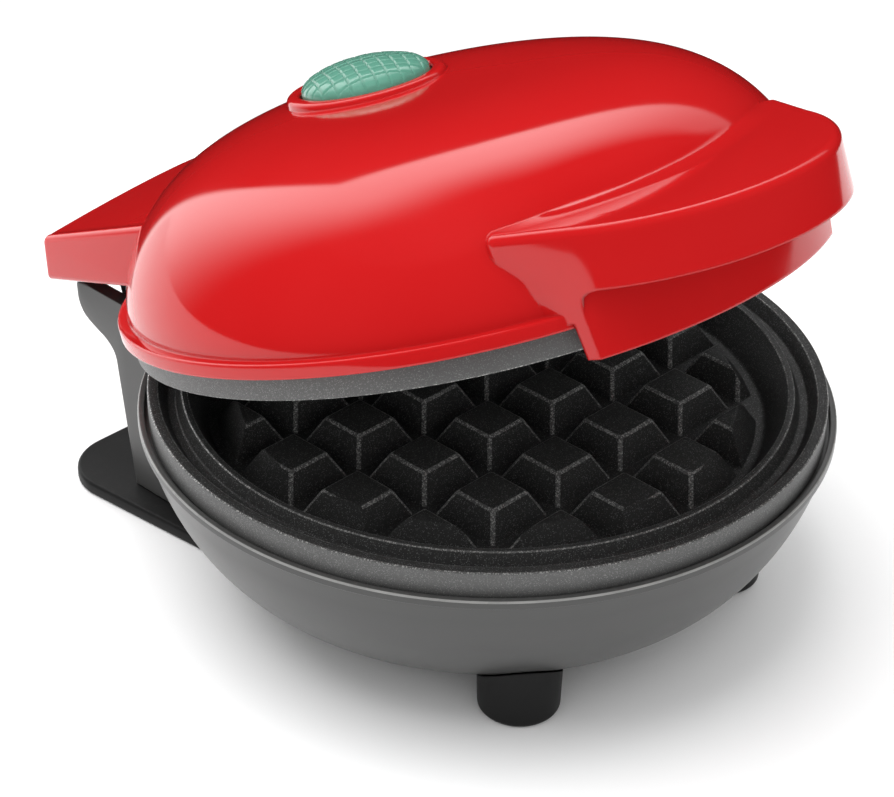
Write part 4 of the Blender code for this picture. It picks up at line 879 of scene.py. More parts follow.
@dataclass
class WafflePlate:
    """A waffle plate: rim, channel, ridge, sloping well and square blocks, with bosses behind."""

    rim_width: float = 0.0019
    rim_slope: float = 0.0016
    channel_width: float = 0.0016
    channel_depth: float = 0.0024
    ridge_slope: float = 0.0010
    ridge_width: float = 0.0011
    well_slope: float = 0.0037
    fine_round: float = 0.00035
    well_round: float = 0.0009
    channel_round: float = 0.0004
    skirt_round: float = 0.0003
    back_round: float = 0.0008
    well_back_round: float = 0.0012
    skirt_height: float = 0.0006
    rows: int = 6
    pitch: float = 0.01633
    block_top: float = 0.00867
    block_base: float = 0.0138
    block_drop: float = 0.0018
    block_round: float = 0.00055
    field_top: float = 0.0455
    field_base: float = 0.0490
    boss_radius: float = 0.0038
    boss_roof: float = 0.0014
    band_tilt: float = 0.2
    rim_look: Point = (0.15, 0.97)
    field_look: Point = (0.64, 0.97)
    block_look: Point = (0.53, 0.985)
    corner_look: float = 0.12
    outward_look: float = 0.985
    side_look: float = 0.1

    def dish(self) -> Solid:
        """Spin the plate's dish, its rims finely rounded."""
        size, fine = COMMON, self.fine_round
        ridge_outer = (size.plate_radius - self.rim_width - self.rim_slope - self.channel_width
                       - self.ridge_slope)
        ridge_inner = ridge_outer - self.ridge_width
        well = ridge_inner - self.well_slope
        back = size.plate_radius - size.plate_wall
        step_z = self.skirt_height - size.band_height
        return Solid(spun(filleted([
            (0, -size.well_depth, 0),
            (well, -size.well_depth, self.well_round),
            (ridge_inner, 0, fine),
            (ridge_outer, 0, fine),
            (ridge_outer + self.ridge_slope, -self.channel_depth, self.channel_round),
            (size.plate_radius - self.rim_width - self.rim_slope, -self.channel_depth, self.channel_round),
            (size.plate_radius - self.rim_width, 0, fine),
            (size.plate_radius, 0, fine),
            (size.plate_radius, -size.band_height, self.skirt_round),
            (back, -size.band_height, 0),
            (back, step_z, 0),
            (ridge_inner + size.plate_wall, step_z, self.back_round),
            (well + size.plate_wall, -size.plate_back, self.well_back_round),
            (0, -size.plate_back, 0),
        ])))

    def blocks(self) -> Solid:
        """Set out the square blocks and trim them to the round field."""
        size = COMMON
        sink = size.plate_wall / 2
        height = size.well_depth - self.block_drop
        foot = self.block_base + (self.block_base - self.block_top) / height * sink
        to_corner = math.sqrt(0.5)
        skins = []
        middles = [(row + 0.5 - self.rows / 2) * self.pitch for row in range(self.rows)]
        for x in middles:
            for y in middles:
                if math.hypot(abs(x) - self.block_top / 2, abs(y) - self.block_top / 2) > self.field_top:
                    continue
                skin = bmesh.new()
                place = (Matrix.Translation((x, y, -self.block_drop - (height + sink) / 2))
                         @ Matrix.Rotation(math.pi / 4, 4, "Z"))
                bmesh.ops.create_cone(skin, cap_ends=True, segments=4, radius1=foot * to_corner,
                                      radius2=self.block_top * to_corner, depth=height + sink, matrix=place)
                low = -size.well_depth - sink / 2
                chosen = [edge for edge in skin.edges if any(vert.co.z > low for vert in edge.verts)]
                skins.append(rounded(skin, self.block_round, chosen=chosen))
        field = spun([(0, OVERRUN), (self.field_top, OVERRUN), (self.field_top, -self.block_drop),
                      (self.field_base, -size.well_depth), (self.field_base, -size.plate_back),
                      (0, -size.plate_back)], MIDDLE_STEPS)
        return Solid(gathered(*skins)).keep(Solid(field))

    def shaped(self) -> Solid:
        """Join dish, blocks and bosses, and bore the bosses."""
        size = COMMON
        spots = size.screw_spots(size.screw_circle)
        bosses = rods(self.boss_radius, -size.boss_end, -size.plate_back + size.plate_wall / 2, spots)
        bores = rods(size.screw_bore, -size.boss_end - OVERRUN, -size.well_depth - self.boss_roof, spots)
        return self.dish().join(self.blocks(), Solid(gathered(*bosses))).cut(Solid(gathered(*bores)))

    def build(self, palette: Palette) -> None:
        """Make both plates from one shape: the lower one face up and the upper one face down."""
        size = COMMON
        lower = self.shaped()
        upper = lower.copy()
        face_up = Matrix.Translation((0, 0, size.rim_z))
        face_down = size.lid_place() @ Matrix.Rotation(math.pi, 4, "Y")
        for solid, name, body, place in ((lower, "lower_plate_fine", Body.BASE, face_up),
                                         (upper, "upper_plate_fine", Body.LID, face_down)):
            piece = finished(solid.moved(place), name, body, Slot.NONSTICK, palette.nonstick,
                             name.removesuffix("_fine"))
            self.dress(piece, palette, place)

    def dress(self, piece: Item, palette: Palette, place: Matrix) -> None:
        """Give the turned outer band its own finish, and paint a lighter highlight on the rounded rim and
        block edges.

        Args:
            piece: The plate.
            palette: The finishes.
            place: The matrix that the plate was set in place by.
        """
        flat = place.inverted()
        turn = flat.to_3x3()
        piece.data.materials.append(palette.nonstick_band)
        piece.data.materials.append(palette.nonstick_edge)
        for face in piece.data.polygons:
            spot, way = flat @ face.center, turn @ face.normal
            outermost = math.hypot(spot.x, spot.y) > COMMON.plate_radius - self.fine_round
            if outermost and abs(way.z) < self.band_tilt:
                face.material_index = 1
            # Rim and block roundings get the painted edge highlight.
            elif self.is_edge(spot, way):
                face.material_index = 2

    def is_edge(self, spot: Vector, way: Vector) -> bool:
        """Tell whether a face belongs to the rounding of a rim or a block, where the painted highlight goes.

        Args:
            spot: Its middle, in the frame of a plate that lies face up with its rim at height 0.
            way: Its normal there.

        Returns:
            Whether it does.
        """
        radius = math.hypot(spot.x, spot.y)
        if radius > self.field_base:
            return spot.z > -2 * self.fine_round and self.rim_look[0] < way.z < self.rim_look[1]
        if spot.z < self.block_round - COMMON.well_depth or way.z < self.side_look:
            return False
        level = math.hypot(way.x, way.y)
        outward = level > 0 and (way.x * spot.x + way.y * spot.y) / (level * radius) > self.outward_look
        if radius > self.field_top - self.block_round and outward:
            return self.field_look[0] < way.z < self.field_look[1]
        return (self.block_look[0] < way.z < self.block_look[1]
                or min(abs(way.x), abs(way.y)) > self.corner_look)


# Base


@dataclass
class Housing:
    """Bowl, cable tower and hinge cheeks in one moulding, with the bosses inside."""

    bowl_radius: float = 0.063
    bowl_depth: float = 0.033
    depth_power: float = 1.34
    round_power: float = 5.2
    wall: float = 0.0023
    flat_radius: float = 0.033
    bead_height: float = 0.0015
    lip_round: float = 0.00035
    slip_gap: float = 0.0007
    ledge_width: float = 0.0033
    tower_half: float = 0.0333
    tower_wall: float = 0.003
    tower_front: float = 0.024
    foot_rear: float = 0.0619
    waist_rear: float = 0.0659
    waist_drop: float = 0.0072
    flare_reach: float = 0.0109
    flare_rise: float = 0.0122
    cheek_height: float = 0.0063
    cheek_round: float = 0.0045
    cheek_front: float = 0.0044
    corner_round: float = 0.0012
    edge_round: float = 0.0007
    bay_drop: float = 0.006
    bay_floor: float = 0.0022
    gland_drop: float = 0.021
    gland_neck: float = 0.0048
    side_steps: int = 32
    side_end: float = 73.0
    outer_start: float = 16.0
    inner_start: float = 28.0
    bead_round: float = 0.0002
    bead_step: float = 0.0003
    bead_run: float = 0.001
    flare_steps: int = 4
    foot_spot: Point = (0.0276, -0.0351)
    spigot_radius: float = 0.003
    spigot_height: float = 0.009
    spigot_wall: float = 0.0022
    screw_front: Point = (0.020, 0.012)
    screw_rear: Point = (0.024, 0.050)
    stand_boss: float = 0.004
    stand_boss_height: float = 0.0085
    stand_bore_depth: float = 0.0065
    pad_half: float = 0.009
    pad_front: float = 0.033
    pad_rear: float = 0.043
    pad_height: float = 0.0052
    window_half: float = 0.010
    window_front: float = 0.048
    window_drop: float = 0.024
    window_height: float = 0.011
    pin_bore: float = 0.002
    lip_highlight_facing: Point = (0.1, 0.97)

    @property
    def bottom_z(self) -> float:
        """Height of the bowl's underside."""
        return COMMON.lip_height - self.bowl_depth

    @property
    def floor_z(self) -> float:
        """Height of the bowl's inner floor."""
        return self.bottom_z + self.wall

    @property
    def post_top(self) -> float:
        """Height of the posts that the plate's screws come up through."""
        return COMMON.rim_z - COMMON.shield_far - SEAT_GAP

    @property
    def spigot_top(self) -> float:
        """Height of the top of a front foot's spigot."""
        return self.floor_z + self.spigot_height

    @property
    def lean(self) -> float:
        """Angle of the tower's rear wall from upright."""
        return math.atan2(self.waist_rear - self.foot_rear, self.bowl_depth - self.waist_drop)

    def rear_y(self, z: float) -> float:
        """Return where the tower's rear face is at a height."""
        return self.foot_rear + (z - self.bottom_z) * math.tan(self.lean)

    def side(self, radius: float, depth: float, first: float) -> list[Point]:
        """Return the points of the bowl's side from a first swept angle down, in degrees."""
        points = []
        for step in range(self.side_steps + 1):
            swing = math.radians(first + (self.side_end - first) * step / self.side_steps)
            points.append((radius * math.cos(swing) ** (2 / self.round_power),
                           COMMON.lip_height - depth * math.sin(swing) ** (2 / self.depth_power)))
        return points

    def outer(self, growth: float = 0.0) -> Solid:
        """Spin the bowl's outer body, filled; growth swells it for the feet's seats."""
        top, bead = COMMON.lip_height, COMMON.lip_height - self.bead_height
        radius = self.bowl_radius + growth
        lip = filleted([(0, top, 0), (COMMON.lip_radius, top, self.lip_round),
                        (COMMON.lip_radius, bead, self.bead_round), (radius, bead - self.bead_step, 0),
                        (radius, bead - self.bead_run, 0)])
        side = self.side(radius, self.bowl_depth + growth, self.outer_start)
        end = [(self.flat_radius, self.bottom_z - growth), (0, self.bottom_z - growth)]
        return Solid(spun(lip[:-1] + side + end))

    def inner(self) -> Solid:
        """Spin the space in the bowl, with the ledge that the lower plate sits on."""
        seat = COMMON.plate_radius + self.slip_gap
        above = COMMON.lip_height + self.cheek_height + OVERRUN
        ledge = COMMON.rim_z - COMMON.band_height - SEAT_GAP
        side = self.side(self.bowl_radius - self.wall, self.bowl_depth - self.wall, self.inner_start)
        return Solid(spun([(0, above), (seat, above), (seat, ledge), (seat - self.ledge_width, ledge), *side,
                           (self.flat_radius - self.wall, self.floor_z), (0, self.floor_z)]))

    def flare(self) -> list[Point]:
        """Return the smooth flare of the tower's rear, from its waist out to the top, as (y, z) points."""
        waist_z = COMMON.lip_height - self.waist_drop
        shares = ((0.0, 0.0), (0.07, 0.15), (0.24, 0.28), (0.50, 0.38), (0.72, 0.47), (0.86, 0.57),
                  (0.97, 0.75), (1.0, 1.0))
        line = [Vector((self.waist_rear + self.flare_reach * out, waist_z + self.flare_rise * up))
                for out, up in shares]
        before = line[0] - Vector((math.sin(self.lean), math.cos(self.lean))) * (line[1] - line[0]).length
        after = line[-1] + (line[-1] - line[-2])
        run = [before, *line, after]
        smooth = []
        for first, start, end, last in zip(run, run[1:], run[2:], run[3:]):
            for step in range(self.flare_steps):
                share = step / self.flare_steps
                bend = 2 * first - 5 * start + 4 * end - last
                twist = 3 * start - first - 3 * end + last
                spot = 0.5 * (2 * start + (end - first) * share + bend * share ** 2 + twist * share ** 3)
                smooth.append((spot.x, spot.y))
        return [*smooth, (line[-1].x, line[-1].y)]

    def tower(self) -> Solid:
        """Draw the tower's side view across, and hollow it for the hinge and the cord."""
        size = COMMON
        top = size.lip_height + self.cheek_height
        front = size.pivot_y - self.cheek_front
        edge_y = self.waist_rear + self.flare_reach
        cheek = filleted([(edge_y, self.flare()[-1][1], 0), (edge_y, top, self.corner_round),
                          (front, top, self.cheek_round),
                          (front, size.lip_height - self.bead_height, 0)], steps=8)
        outline = [(self.tower_front, self.bottom_z), (self.foot_rear, self.bottom_z), *self.flare(),
                   *cheek[1:], (self.tower_front, size.lip_height - self.bay_drop)]
        skin = drawn(outline, -self.tower_half, self.tower_half, Axis.X)
        side = self.tower_half - MERGE
        rear = self.foot_rear - MERGE
        chosen = edges_where(skin, lambda spot: abs(spot.x) > side and spot.y > rear)
        chosen = [edge for edge in chosen if edge.verts[0].co.x * edge.verts[1].co.x > 0]
        tower = Solid(rounded(skin, self.edge_round, chosen=chosen))
        inner = self.tower_half - self.tower_wall
        bay_z = size.lip_height - self.bay_drop
        bay = block((-inner, self.tower_front - OVERRUN, bay_z), (inner, edge_y + OVERRUN, top + OVERRUN))
        roof, below = bay_z - self.bay_floor, self.bottom_z - OVERRUN
        near = self.tower_front + self.tower_wall
        hollow = drawn([(near, below), (self.rear_y(below) - self.tower_wall, below),
                        (self.rear_y(roof) - self.tower_wall, roof), (near, roof)], -inner, inner, Axis.X)
        return tower.cut(Solid(bay), Solid(hollow))

    def bosses(self) -> Solid:
        """Set out posts, bosses and pad on the bowl's floor."""
        size, low = COMMON, self.floor_z - self.wall / 2
        skins = rods(self.stand_boss, low, self.bottom_z + self.stand_boss_height,
                     both_sides(self.screw_front))
        skins += rods(size.head_radius + size.head_room + self.wall / 2, low, self.post_top,
                      size.screw_spots(size.screw_circle))
        half = self.pad_half + self.wall / 2
        skins.append(block((-half, self.pad_front, low),
                           (half, self.pad_rear, self.floor_z + self.pad_height)))
        return Solid(gathered(*skins))

    def foot_bosses(self) -> Solid:
        """Set out the bosses over the front feet, trimmed to the bowl's wall."""
        skins = rods(self.spigot_radius + SEAT_GAP + self.spigot_wall, self.bottom_z,
                     self.spigot_top + SEAT_GAP + self.spigot_wall, both_sides(self.foot_spot))
        return Solid(gathered(*skins)).keep(self.outer(-self.wall / 2))

    def bores(self) -> Solid:
        """Set out every screw hole, spigot hole, window and pin hole."""
        size = COMMON
        below = self.bottom_z - OVERRUN
        skins = rods(size.screw_bore, below, self.bottom_z - SEAT_GAP + self.stand_bore_depth,
                     both_sides(self.screw_front) + both_sides(self.screw_rear))
        seat = self.floor_z + size.head_height + size.head_room
        skins += stepped_bores((size.head_radius + size.head_room, size.screw_bore),
                               (below, seat, self.post_top + OVERRUN), size.screw_spots(size.screw_circle))
        skins += rods(self.spigot_radius + SEAT_GAP, below, self.spigot_top + SEAT_GAP,
                      both_sides(self.foot_spot))
        window_z = size.lip_height - self.window_drop
        window_rear = self.foot_rear - self.tower_wall
        skins.append(block((-self.window_half, self.window_front, window_z),
                           (self.window_half, window_rear, window_z + self.window_height)))
        hole = rod(self.gland_neck + SEAT_GAP, -self.tower_wall - OVERRUN, OVERRUN)
        skins.append(put(hole, self.gland_place()))
        across = Matrix.Translation((0, size.pivot_y, size.pivot_z)) @ Matrix.Rotation(math.pi / 2, 4, "Y")
        reach = self.tower_half + OVERRUN
        skins.append(put(rod(self.pin_bore, -reach, reach), across))
        return Solid(gathered(*skins))

    def gland_place(self) -> Matrix:
        """Return the matrix that sets an upright turned piece square to the tower's rear wall."""
        z = COMMON.lip_height - self.gland_drop
        return (Matrix.Translation((0, self.rear_y(z), z))
                @ Matrix.Rotation(-math.pi / 2 - self.lean, 4, "X"))

    def build(self, palette: Palette) -> None:
        """Shape the housing, give it its satin grey and paint a lighter grey highlight on the lip's top
        rounding.
        """
        rear_top = COMMON.lip_height - self.bay_drop - self.bay_floor / 2
        rear = gathered(*rods(self.stand_boss, self.bottom_z, rear_top, both_sides(self.screw_rear)))
        body = self.outer().join(self.tower(), Solid(rear)).cut(self.inner())
        body.join(self.bosses(), self.foot_bosses()).cut(self.bores())
        piece = finished(body, "lower_housing_fine", Body.BASE, Slot.GREY, palette.grey, "lower_housing")
        # The lip's top rounding gets a lighter grey: a painted highlight.
        piece.data.materials.append(palette.grey_edge)
        for face in piece.data.polygons:
            radius = math.hypot(face.center.x, face.center.y)
            at_lip = COMMON.lip_radius - self.lip_round < radius <= COMMON.lip_radius
            on_top = face.center.z > COMMON.lip_height - self.lip_round
            if at_lip and on_top and self.lip_highlight_facing[0] < face.normal.z < self.lip_highlight_facing[1]:
                face.material_index = 1


@dataclass
class Stand:
    """The flat rear foot, the round front feet and the cord's bush."""

    housing: Housing
    top_z: float = 0.0027
    edge_round: float = 0.0007
    foot_radius: float = 0.0079
    foot_tip: float = 0.0073
    foot_round: float = 0.0012
    foot_top: float = 0.018
    foot_steps: int = 64
    front_corners: tuple[Place, ...] = ((0, -0.0055, 0), (0.027, -0.0055, 0.005), (0.027, 0.008, 0.004),
                                        (0.037, 0.024, 0.004), (0.037, 0.040, 0.004), (0.0395, 0.068, 0))
    rear_corner: Point = (0.0285, 0.068)
    rear_round: float = 0.011
    bush_bore: float = 0.003
    bush_flange: float = 0.0068
    bush_height: float = 0.0018
    groove_inner: float = 0.0042
    groove_outer: float = 0.0050
    groove_slope: float = 0.0002
    groove_depth: float = 0.0003
    groove_round: float = 0.0001
    bush_round: float = 0.0002
    bush_edge: float = 0.0005
    barb: float = 0.0015
    barb_round: float = 0.0003

    def outline(self) -> list[Point]:
        """Return the plan of the rear foot, wide at the rear with rounded corners."""
        right = filleted(list(self.front_corners), steps=6)[1:-1]
        right += arc(self.rear_corner, self.rear_round, 0, math.pi / 2, steps=14)
        return right + [(-x, y) for x, y in reversed(right)]

    def build(self, palette: Palette) -> None:
        """Make the rear foot, the front feet and the bush."""
        size, housing = COMMON, self.housing
        plate = Solid(rounded(drawn(self.outline(), 0, self.top_z), self.edge_round))
        spots = both_sides(housing.screw_front) + both_sides(housing.screw_rear)
        seat = size.head_height + size.head_room + SEAT_GAP
        recesses = stepped_bores((size.head_radius + SEAT_GAP, size.screw_bore),
                                 (-OVERRUN, seat, self.top_z + OVERRUN), spots)
        plate.cut(Solid(gathered(*recesses)))
        finished(plate, "stand_plate_fine", Body.BASE, Slot.BLACK, palette.black, "stand_plate")
        self.build_feet(palette)
        self.build_bush(palette)

    def build_feet(self, palette: Palette) -> None:
        """Turn the two front feet and seat them against the bowl."""
        profile = filleted([(0, self.foot_top, 0), (self.foot_radius, self.foot_top, 0),
                            (self.foot_tip, 0, self.foot_round), (0, 0, 0)], steps=8)
        housing = self.housing
        for side, spot in zip(("left", "right"), reversed(both_sides(housing.foot_spot))):
            place = Matrix.Translation((*spot, 0))
            foot = Solid(put(spun(profile, self.foot_steps), place)).cut(housing.outer(SEAT_GAP))
            foot.join(Solid(rod(housing.spigot_radius, self.foot_radius / 2, housing.spigot_top, spot)))
            finished(foot, f"front_foot_{side}_fine", Body.BASE, Slot.BLACK, palette.black,
                     f"front_foot_{side}")

    def build_bush(self, palette: Palette) -> None:
        """Turn the bush that the cord comes in by, with a groove in its flange and a barb inside."""
        neck, flange, bore, top = self.housing.gland_neck, self.bush_flange, self.bush_bore, self.bush_height
        inner = -self.housing.tower_wall * math.cos(self.housing.lean) - SEAT_GAP
        dip = top - self.groove_depth
        profile = filleted([(bore, top, 0), (self.groove_inner, top, self.bush_round),
                            (self.groove_inner + self.groove_slope, dip, self.groove_round),
                            (self.groove_outer - self.groove_slope, dip, self.groove_round),
                            (self.groove_outer, top, self.bush_round), (flange, top, self.bush_edge),
                            (flange, SEAT_GAP, self.bush_round), (neck, SEAT_GAP, 0), (neck, inner, 0),
                            (neck + self.barb, inner, self.barb_round),
                            (neck, inner - self.barb, self.barb_round), (bore, inner - self.barb, 0)])
        bush = Solid(put(spun(profile, SMALL_STEPS, closed=True), self.housing.gland_place()))
        finished(bush, "cord_bush", Body.BASE, Slot.RUBBER, palette.rubber, "cord_gland")


# Lid


@dataclass
class LidShell:
    """Dome, flange, handle, rear cover and lens bezel in one red moulding."""

    dome_radius: float = 0.0614
    dome_start: float = 0.007
    dome_rise: float = 0.0274
    side_power: float = 3.8
    top_power: float = 1.7
    wall: float = 0.0022
    flange_radius: float = 0.06345
    flange_bottom: float = 0.0044
    flange_round: float = 0.0005
    arc_radius: float = 0.0337
    arc_y: float = -0.0473
    arc_half: float = math.radians(70)
    corner: Point = (0.0363, -0.0458)
    corner_run: float = 0.012
    handle_foot_share: float = 0.94
    handle_brim_share: float = 0.976
    handle_top_draft: float = 0.036
    ramp_inner: float = 0.0545
    ramp_outer: float = 0.0592
    ramp_rise: float = 0.0009
    ramp_half: float = math.radians(40)
    ramp_fade: float = math.radians(17)
    ramp_steps: int = 10
    ramp_trim_share: float = 0.9
    handle_top: float = 0.021
    brim_w: float = 0.0108
    top_round: float = 0.0034
    handle_wall: float = 0.0022
    skirt_radius: float = 0.0658
    skirt_clearance: float = 0.00075
    skirt_drop: float = 0.001
    skirt_half: float = 0.0306
    recess_round: float = 0.0022
    cover_half: float = 0.0374
    cover_bottom: float = 0.0072
    cover_front: float = 0.042
    cover_side_top: float = 0.016
    cover_crown: float = 0.003
    cover_power: float = 1.5
    cover_slope_share: float = 0.1
    cover_rear: float = 0.0781
    cover_lean: float = 0.0023
    cover_round: float = 0.0013
    cover_roof: float = 0.0138
    lens_y: float = 0.0169
    lens_hole: float = 0.0121
    lens_seat: float = 0.0135
    bezel_top: float = 0.0354
    bezel_radius: float = 0.0147
    bezel_foot: float = 0.0156
    post_circle: float = 0.0455
    post_radius: float = 0.0036
    post_bore_depth: float = 0.006
    arm_screw_x: float = 0.0239
    arm_screw_back: float = 0.0016
    arm_bore_depth: float = 0.0025
    plate_clearance: float = 0.0004
    flange_under_round: float = 0.0002
    corner_round: float = 0.0016
    draft_start: float = 0.002
    draft_run: float = 0.008
    brim_gap: float = 0.0006
    bezel_round: float = 0.0012
    bezel_fine_round: float = 0.0003
    bezel_wall_drop: float = 0.0033
    bezel_wall_draft: float = 0.0002
    bezel_step: float = 0.0004
    bezel_step_drop: float = 0.0003
    seat_drop: float = 0.0016
    lens_chamfer: float = 0.0004
    socket_wall: float = 0.0016
    socket_drop: float = 0.0051

    def curve(self, radius: float, rise: float, steps: int = 72) -> list[Point]:
        """Return the points of the dome from its top down to its side."""
        points = []
        for step in range(steps + 1):
            swing = math.pi / 2 * step / steps
            points.append((radius * math.sin(swing) ** (2 / self.side_power),
                           self.dome_start + rise * max(math.cos(swing), 0) ** (2 / self.top_power)))
        return points

    def body(self, inset: float = 0.0) -> Solid:
        """Spin the dome and flange as one filled shape; inset draws its skin in."""
        rim = self.flange_radius - inset
        edge = filleted([(self.dome_radius - inset, self.dome_start, 0),
                         (rim, self.dome_start, self.flange_round),
                         (rim, self.flange_bottom, self.flange_under_round), (0, self.flange_bottom, 0)])
        return Solid(spun(self.curve(self.dome_radius - inset, self.dome_rise - inset) + edge[1:]))

    def space(self) -> Solid:
        """Spin what is hollow inside the dome, down through the plate's seat."""
        ledge, seat = COMMON.band_height + SEAT_GAP, COMMON.plate_radius + self.plate_clearance
        reach = self.dome_radius - self.wall
        return Solid(spun(self.curve(reach, self.dome_rise - self.wall, 40)
                          + [(reach, ledge), (seat, ledge), (seat, -OVERRUN), (0, -OVERRUN)]))

    def plan(self, inset: float = 0.0) -> list[Point]:
        """Return the handle's plan: an arc in front, and rounded corners that turn in to the dome."""
        half = self.arc_half
        front = arc((0, self.arc_y), self.arc_radius - inset, -math.pi / 2 - half, -math.pi / 2 + half,
                    steps=64)
        x, y = self.corner[0] - inset, self.corner[1]
        inside = (x - self.corner_run, y + self.corner_run)
        right = filleted([(*front[-1], 0), (x, y, self.corner_round), (*inside, 0)], steps=6)[1:]
        return [(-a, b) for a, b in reversed(right)] + front + right

    def arc_to_line(self, radius: float, half: float, reach: float) -> list[Point]:
        """Return a plan between an arc about the lid's middle, on the handle's side, and a line across."""
        turn = math.asin(half / radius)
        bow = arc((0, 0), radius, -math.pi / 2 - turn, -math.pi / 2 + turn, SMALL_STEPS)
        return [*bow, (half, -reach), (-half, -reach)]

    def handle(self) -> Solid:
        """Shape the handle: rounded brim above, hollow under it, skirt and end posts below."""
        skin = drawn(self.plan(), -self.skirt_drop, self.handle_top)
        bmesh.ops.bisect_plane(skin, geom=skin.verts[:] + skin.edges[:] + skin.faces[:],
                               plane_co=(0, 0, self.brim_w), plane_no=UP, dist=MERGE)
        for vert in skin.verts:
            share = self.handle_brim_share
            if vert.co.z < 0:
                share = self.handle_foot_share
            elif vert.co.z > self.brim_w + MERGE:
                forward = (self.corner[1] - self.draft_start - vert.co.y) / self.draft_run
                share = 1 - self.handle_top_draft * min(max(forward, 0), 1)
            vert.co.x *= share
            vert.co.y = self.arc_y + (vert.co.y - self.arc_y) * share
        top = edges_where(skin, lambda spot: spot.z > self.handle_top - MERGE)
        handle = Solid(rounded(skin, self.top_round, segments=8, chosen=top))
        far = self.arc_radius - self.arc_y + OVERRUN
        low = -self.skirt_drop - OVERRUN
        plates = rod(self.flange_radius + self.skirt_clearance, low, self.flange_bottom + OVERRUN / 2,
                     steps=ROUND_STEPS)
        recess = drawn(self.arc_to_line(self.skirt_radius, self.skirt_half, far), low, self.brim_w)
        side = self.skirt_half - MERGE
        corners = edges_where(recess, lambda spot: abs(spot.x) > side and spot.z > self.brim_w - MERGE)
        corners = [edge for edge in corners if abs(edge.verts[0].co.x - edge.verts[1].co.x) < MERGE]
        rounded(recess, self.recess_round, segments=6, chosen=corners)
        brim = Solid(drawn(self.plan(self.handle_wall), self.brim_w - OVERRUN,
                           self.handle_top - self.handle_wall))
        brim.cut(Solid(rod(self.skirt_radius + self.brim_gap, self.brim_w - 2 * OVERRUN, self.handle_top,
                           steps=ROUND_STEPS)))
        sides = self.arc_to_line(self.skirt_radius - OVERRUN, self.skirt_half - self.recess_round / 2, far)
        brim.keep(Solid(drawn(sides, self.brim_w - 2 * OVERRUN, self.handle_top)))
        return handle.cut(Solid(plates), Solid(recess), brim)

    def ramp(self) -> Solid:
        """Spin the hollow ramp that leads from the handle's top up to the dome, and trim it to the handle."""
        low, inside = self.handle_top - self.handle_wall / 2, self.ramp_inner - self.handle_wall
        reach = self.ramp_outer - self.ramp_inner
        shares = [step / self.ramp_steps for step in range(self.ramp_steps + 1)]
        run = [(self.ramp_outer - reach * share, self.handle_top - MERGE + self.ramp_rise * share ** 2)
               for share in shares]
        ring = spun([(inside, low), (self.ramp_outer, low), *run, (inside, run[-1][1])], closed=True)
        for vert in ring.verts:
            away = abs(math.atan2(vert.co.x, -vert.co.y))
            share = min(max((self.ramp_half - away) / self.ramp_fade, 0), 1)
            share *= share * (3 - 2 * share)
            if vert.co.z > self.handle_top:
                vert.co.z = self.handle_top - MERGE + (vert.co.z - self.handle_top) * share
        trim = drawn(self.plan(self.top_round * self.ramp_trim_share), low - OVERRUN,
                     self.handle_top + 2 * self.ramp_rise)
        return Solid(ring).keep(Solid(trim))

    def cover(self) -> Solid:
        """Shape the rear cover: crowned and sloping on top, its rear face leaning forward."""
        steps = 24
        top = self.cover_side_top + self.cover_crown
        across = [self.cover_half * step / steps for step in range(steps, -steps - 1, -1)]
        outline = [(-self.cover_half, self.cover_bottom), (self.cover_half, self.cover_bottom),
                   *[(x, top) for x in across]]
        skin = drawn(outline, self.cover_front, self.cover_rear, Axis.Y)
        for vert in skin.verts:
            if vert.co.z < (self.cover_bottom + top) / 2:
                continue
            if vert.co.y > self.cover_front + MERGE:
                vert.co.y -= self.cover_lean
            crown = self.cover_crown * (1 - min(abs(vert.co.x) / self.cover_half, 1) ** self.cover_power)
            slope = self.cover_slope_share * (self.cover_rear - self.cover_lean - vert.co.y)
            vert.co.z = self.cover_side_top + crown + slope
        sides = [edge for edge in skin.edges if edge.calc_face_angle(0) > CRISP_ANGLE]
        sides = [edge for edge in sides if max(vert.co.y for vert in edge.verts) > self.cover_front + MERGE]
        return Solid(rounded(skin, self.cover_round, segments=5, chosen=sides))

    def cover_space(self) -> Solid:
        """Draw the hollow that the cheeks and arms work in."""
        inner = self.cover_half - self.wall
        front = math.sqrt(self.dome_radius ** 2 - inner ** 2) - SEAT_GAP
        lean = self.cover_lean / (self.cover_side_top - self.cover_bottom)
        rear = self.cover_rear - self.wall
        outline = [(front, -OVERRUN), (rear + lean * self.cover_bottom, -OVERRUN),
                   (rear - lean * (self.cover_roof - self.cover_bottom), self.cover_roof),
                   (front, self.cover_roof)]
        return Solid(drawn(outline, -inner, inner, Axis.X))

    def round_lens(self, profile: list[Point]) -> Solid:
        """Spin a profile about the lens's axis."""
        return Solid(put(spun(profile, MIDDLE_STEPS), Matrix.Translation((0, self.lens_y, 0))))

    def bezel(self) -> Solid:
        """Turn the raised ring round the lens, with a small step at its foot."""
        foot = self.dome_start + self.dome_rise - 2 * self.wall
        top, fine = self.bezel_top, self.bezel_fine_round
        wall_low, wall_radius = top - self.bezel_wall_drop, self.bezel_radius + self.bezel_wall_draft
        return self.round_lens(filleted([
            (0, top, 0), (self.bezel_radius, top, self.bezel_round), (wall_radius, wall_low, fine),
            (wall_radius + self.bezel_step, wall_low - self.bezel_step_drop, fine),
            (self.bezel_foot, foot, 0), (0, foot, 0)], steps=8))

    def lens_way(self) -> Solid:
        """Turn the lens's way through the bezel, wider below for its flange."""
        top, hole, chamfer = self.bezel_top, self.lens_hole, self.lens_chamfer
        seat, low = top - self.seat_drop, top - self.socket_drop - OVERRUN
        return self.round_lens([(0, top + OVERRUN), (hole + chamfer + OVERRUN, top + OVERRUN),
                                (hole, top - chamfer), (hole, seat), (self.lens_seat, seat),
                                (self.lens_seat, low), (0, low)])

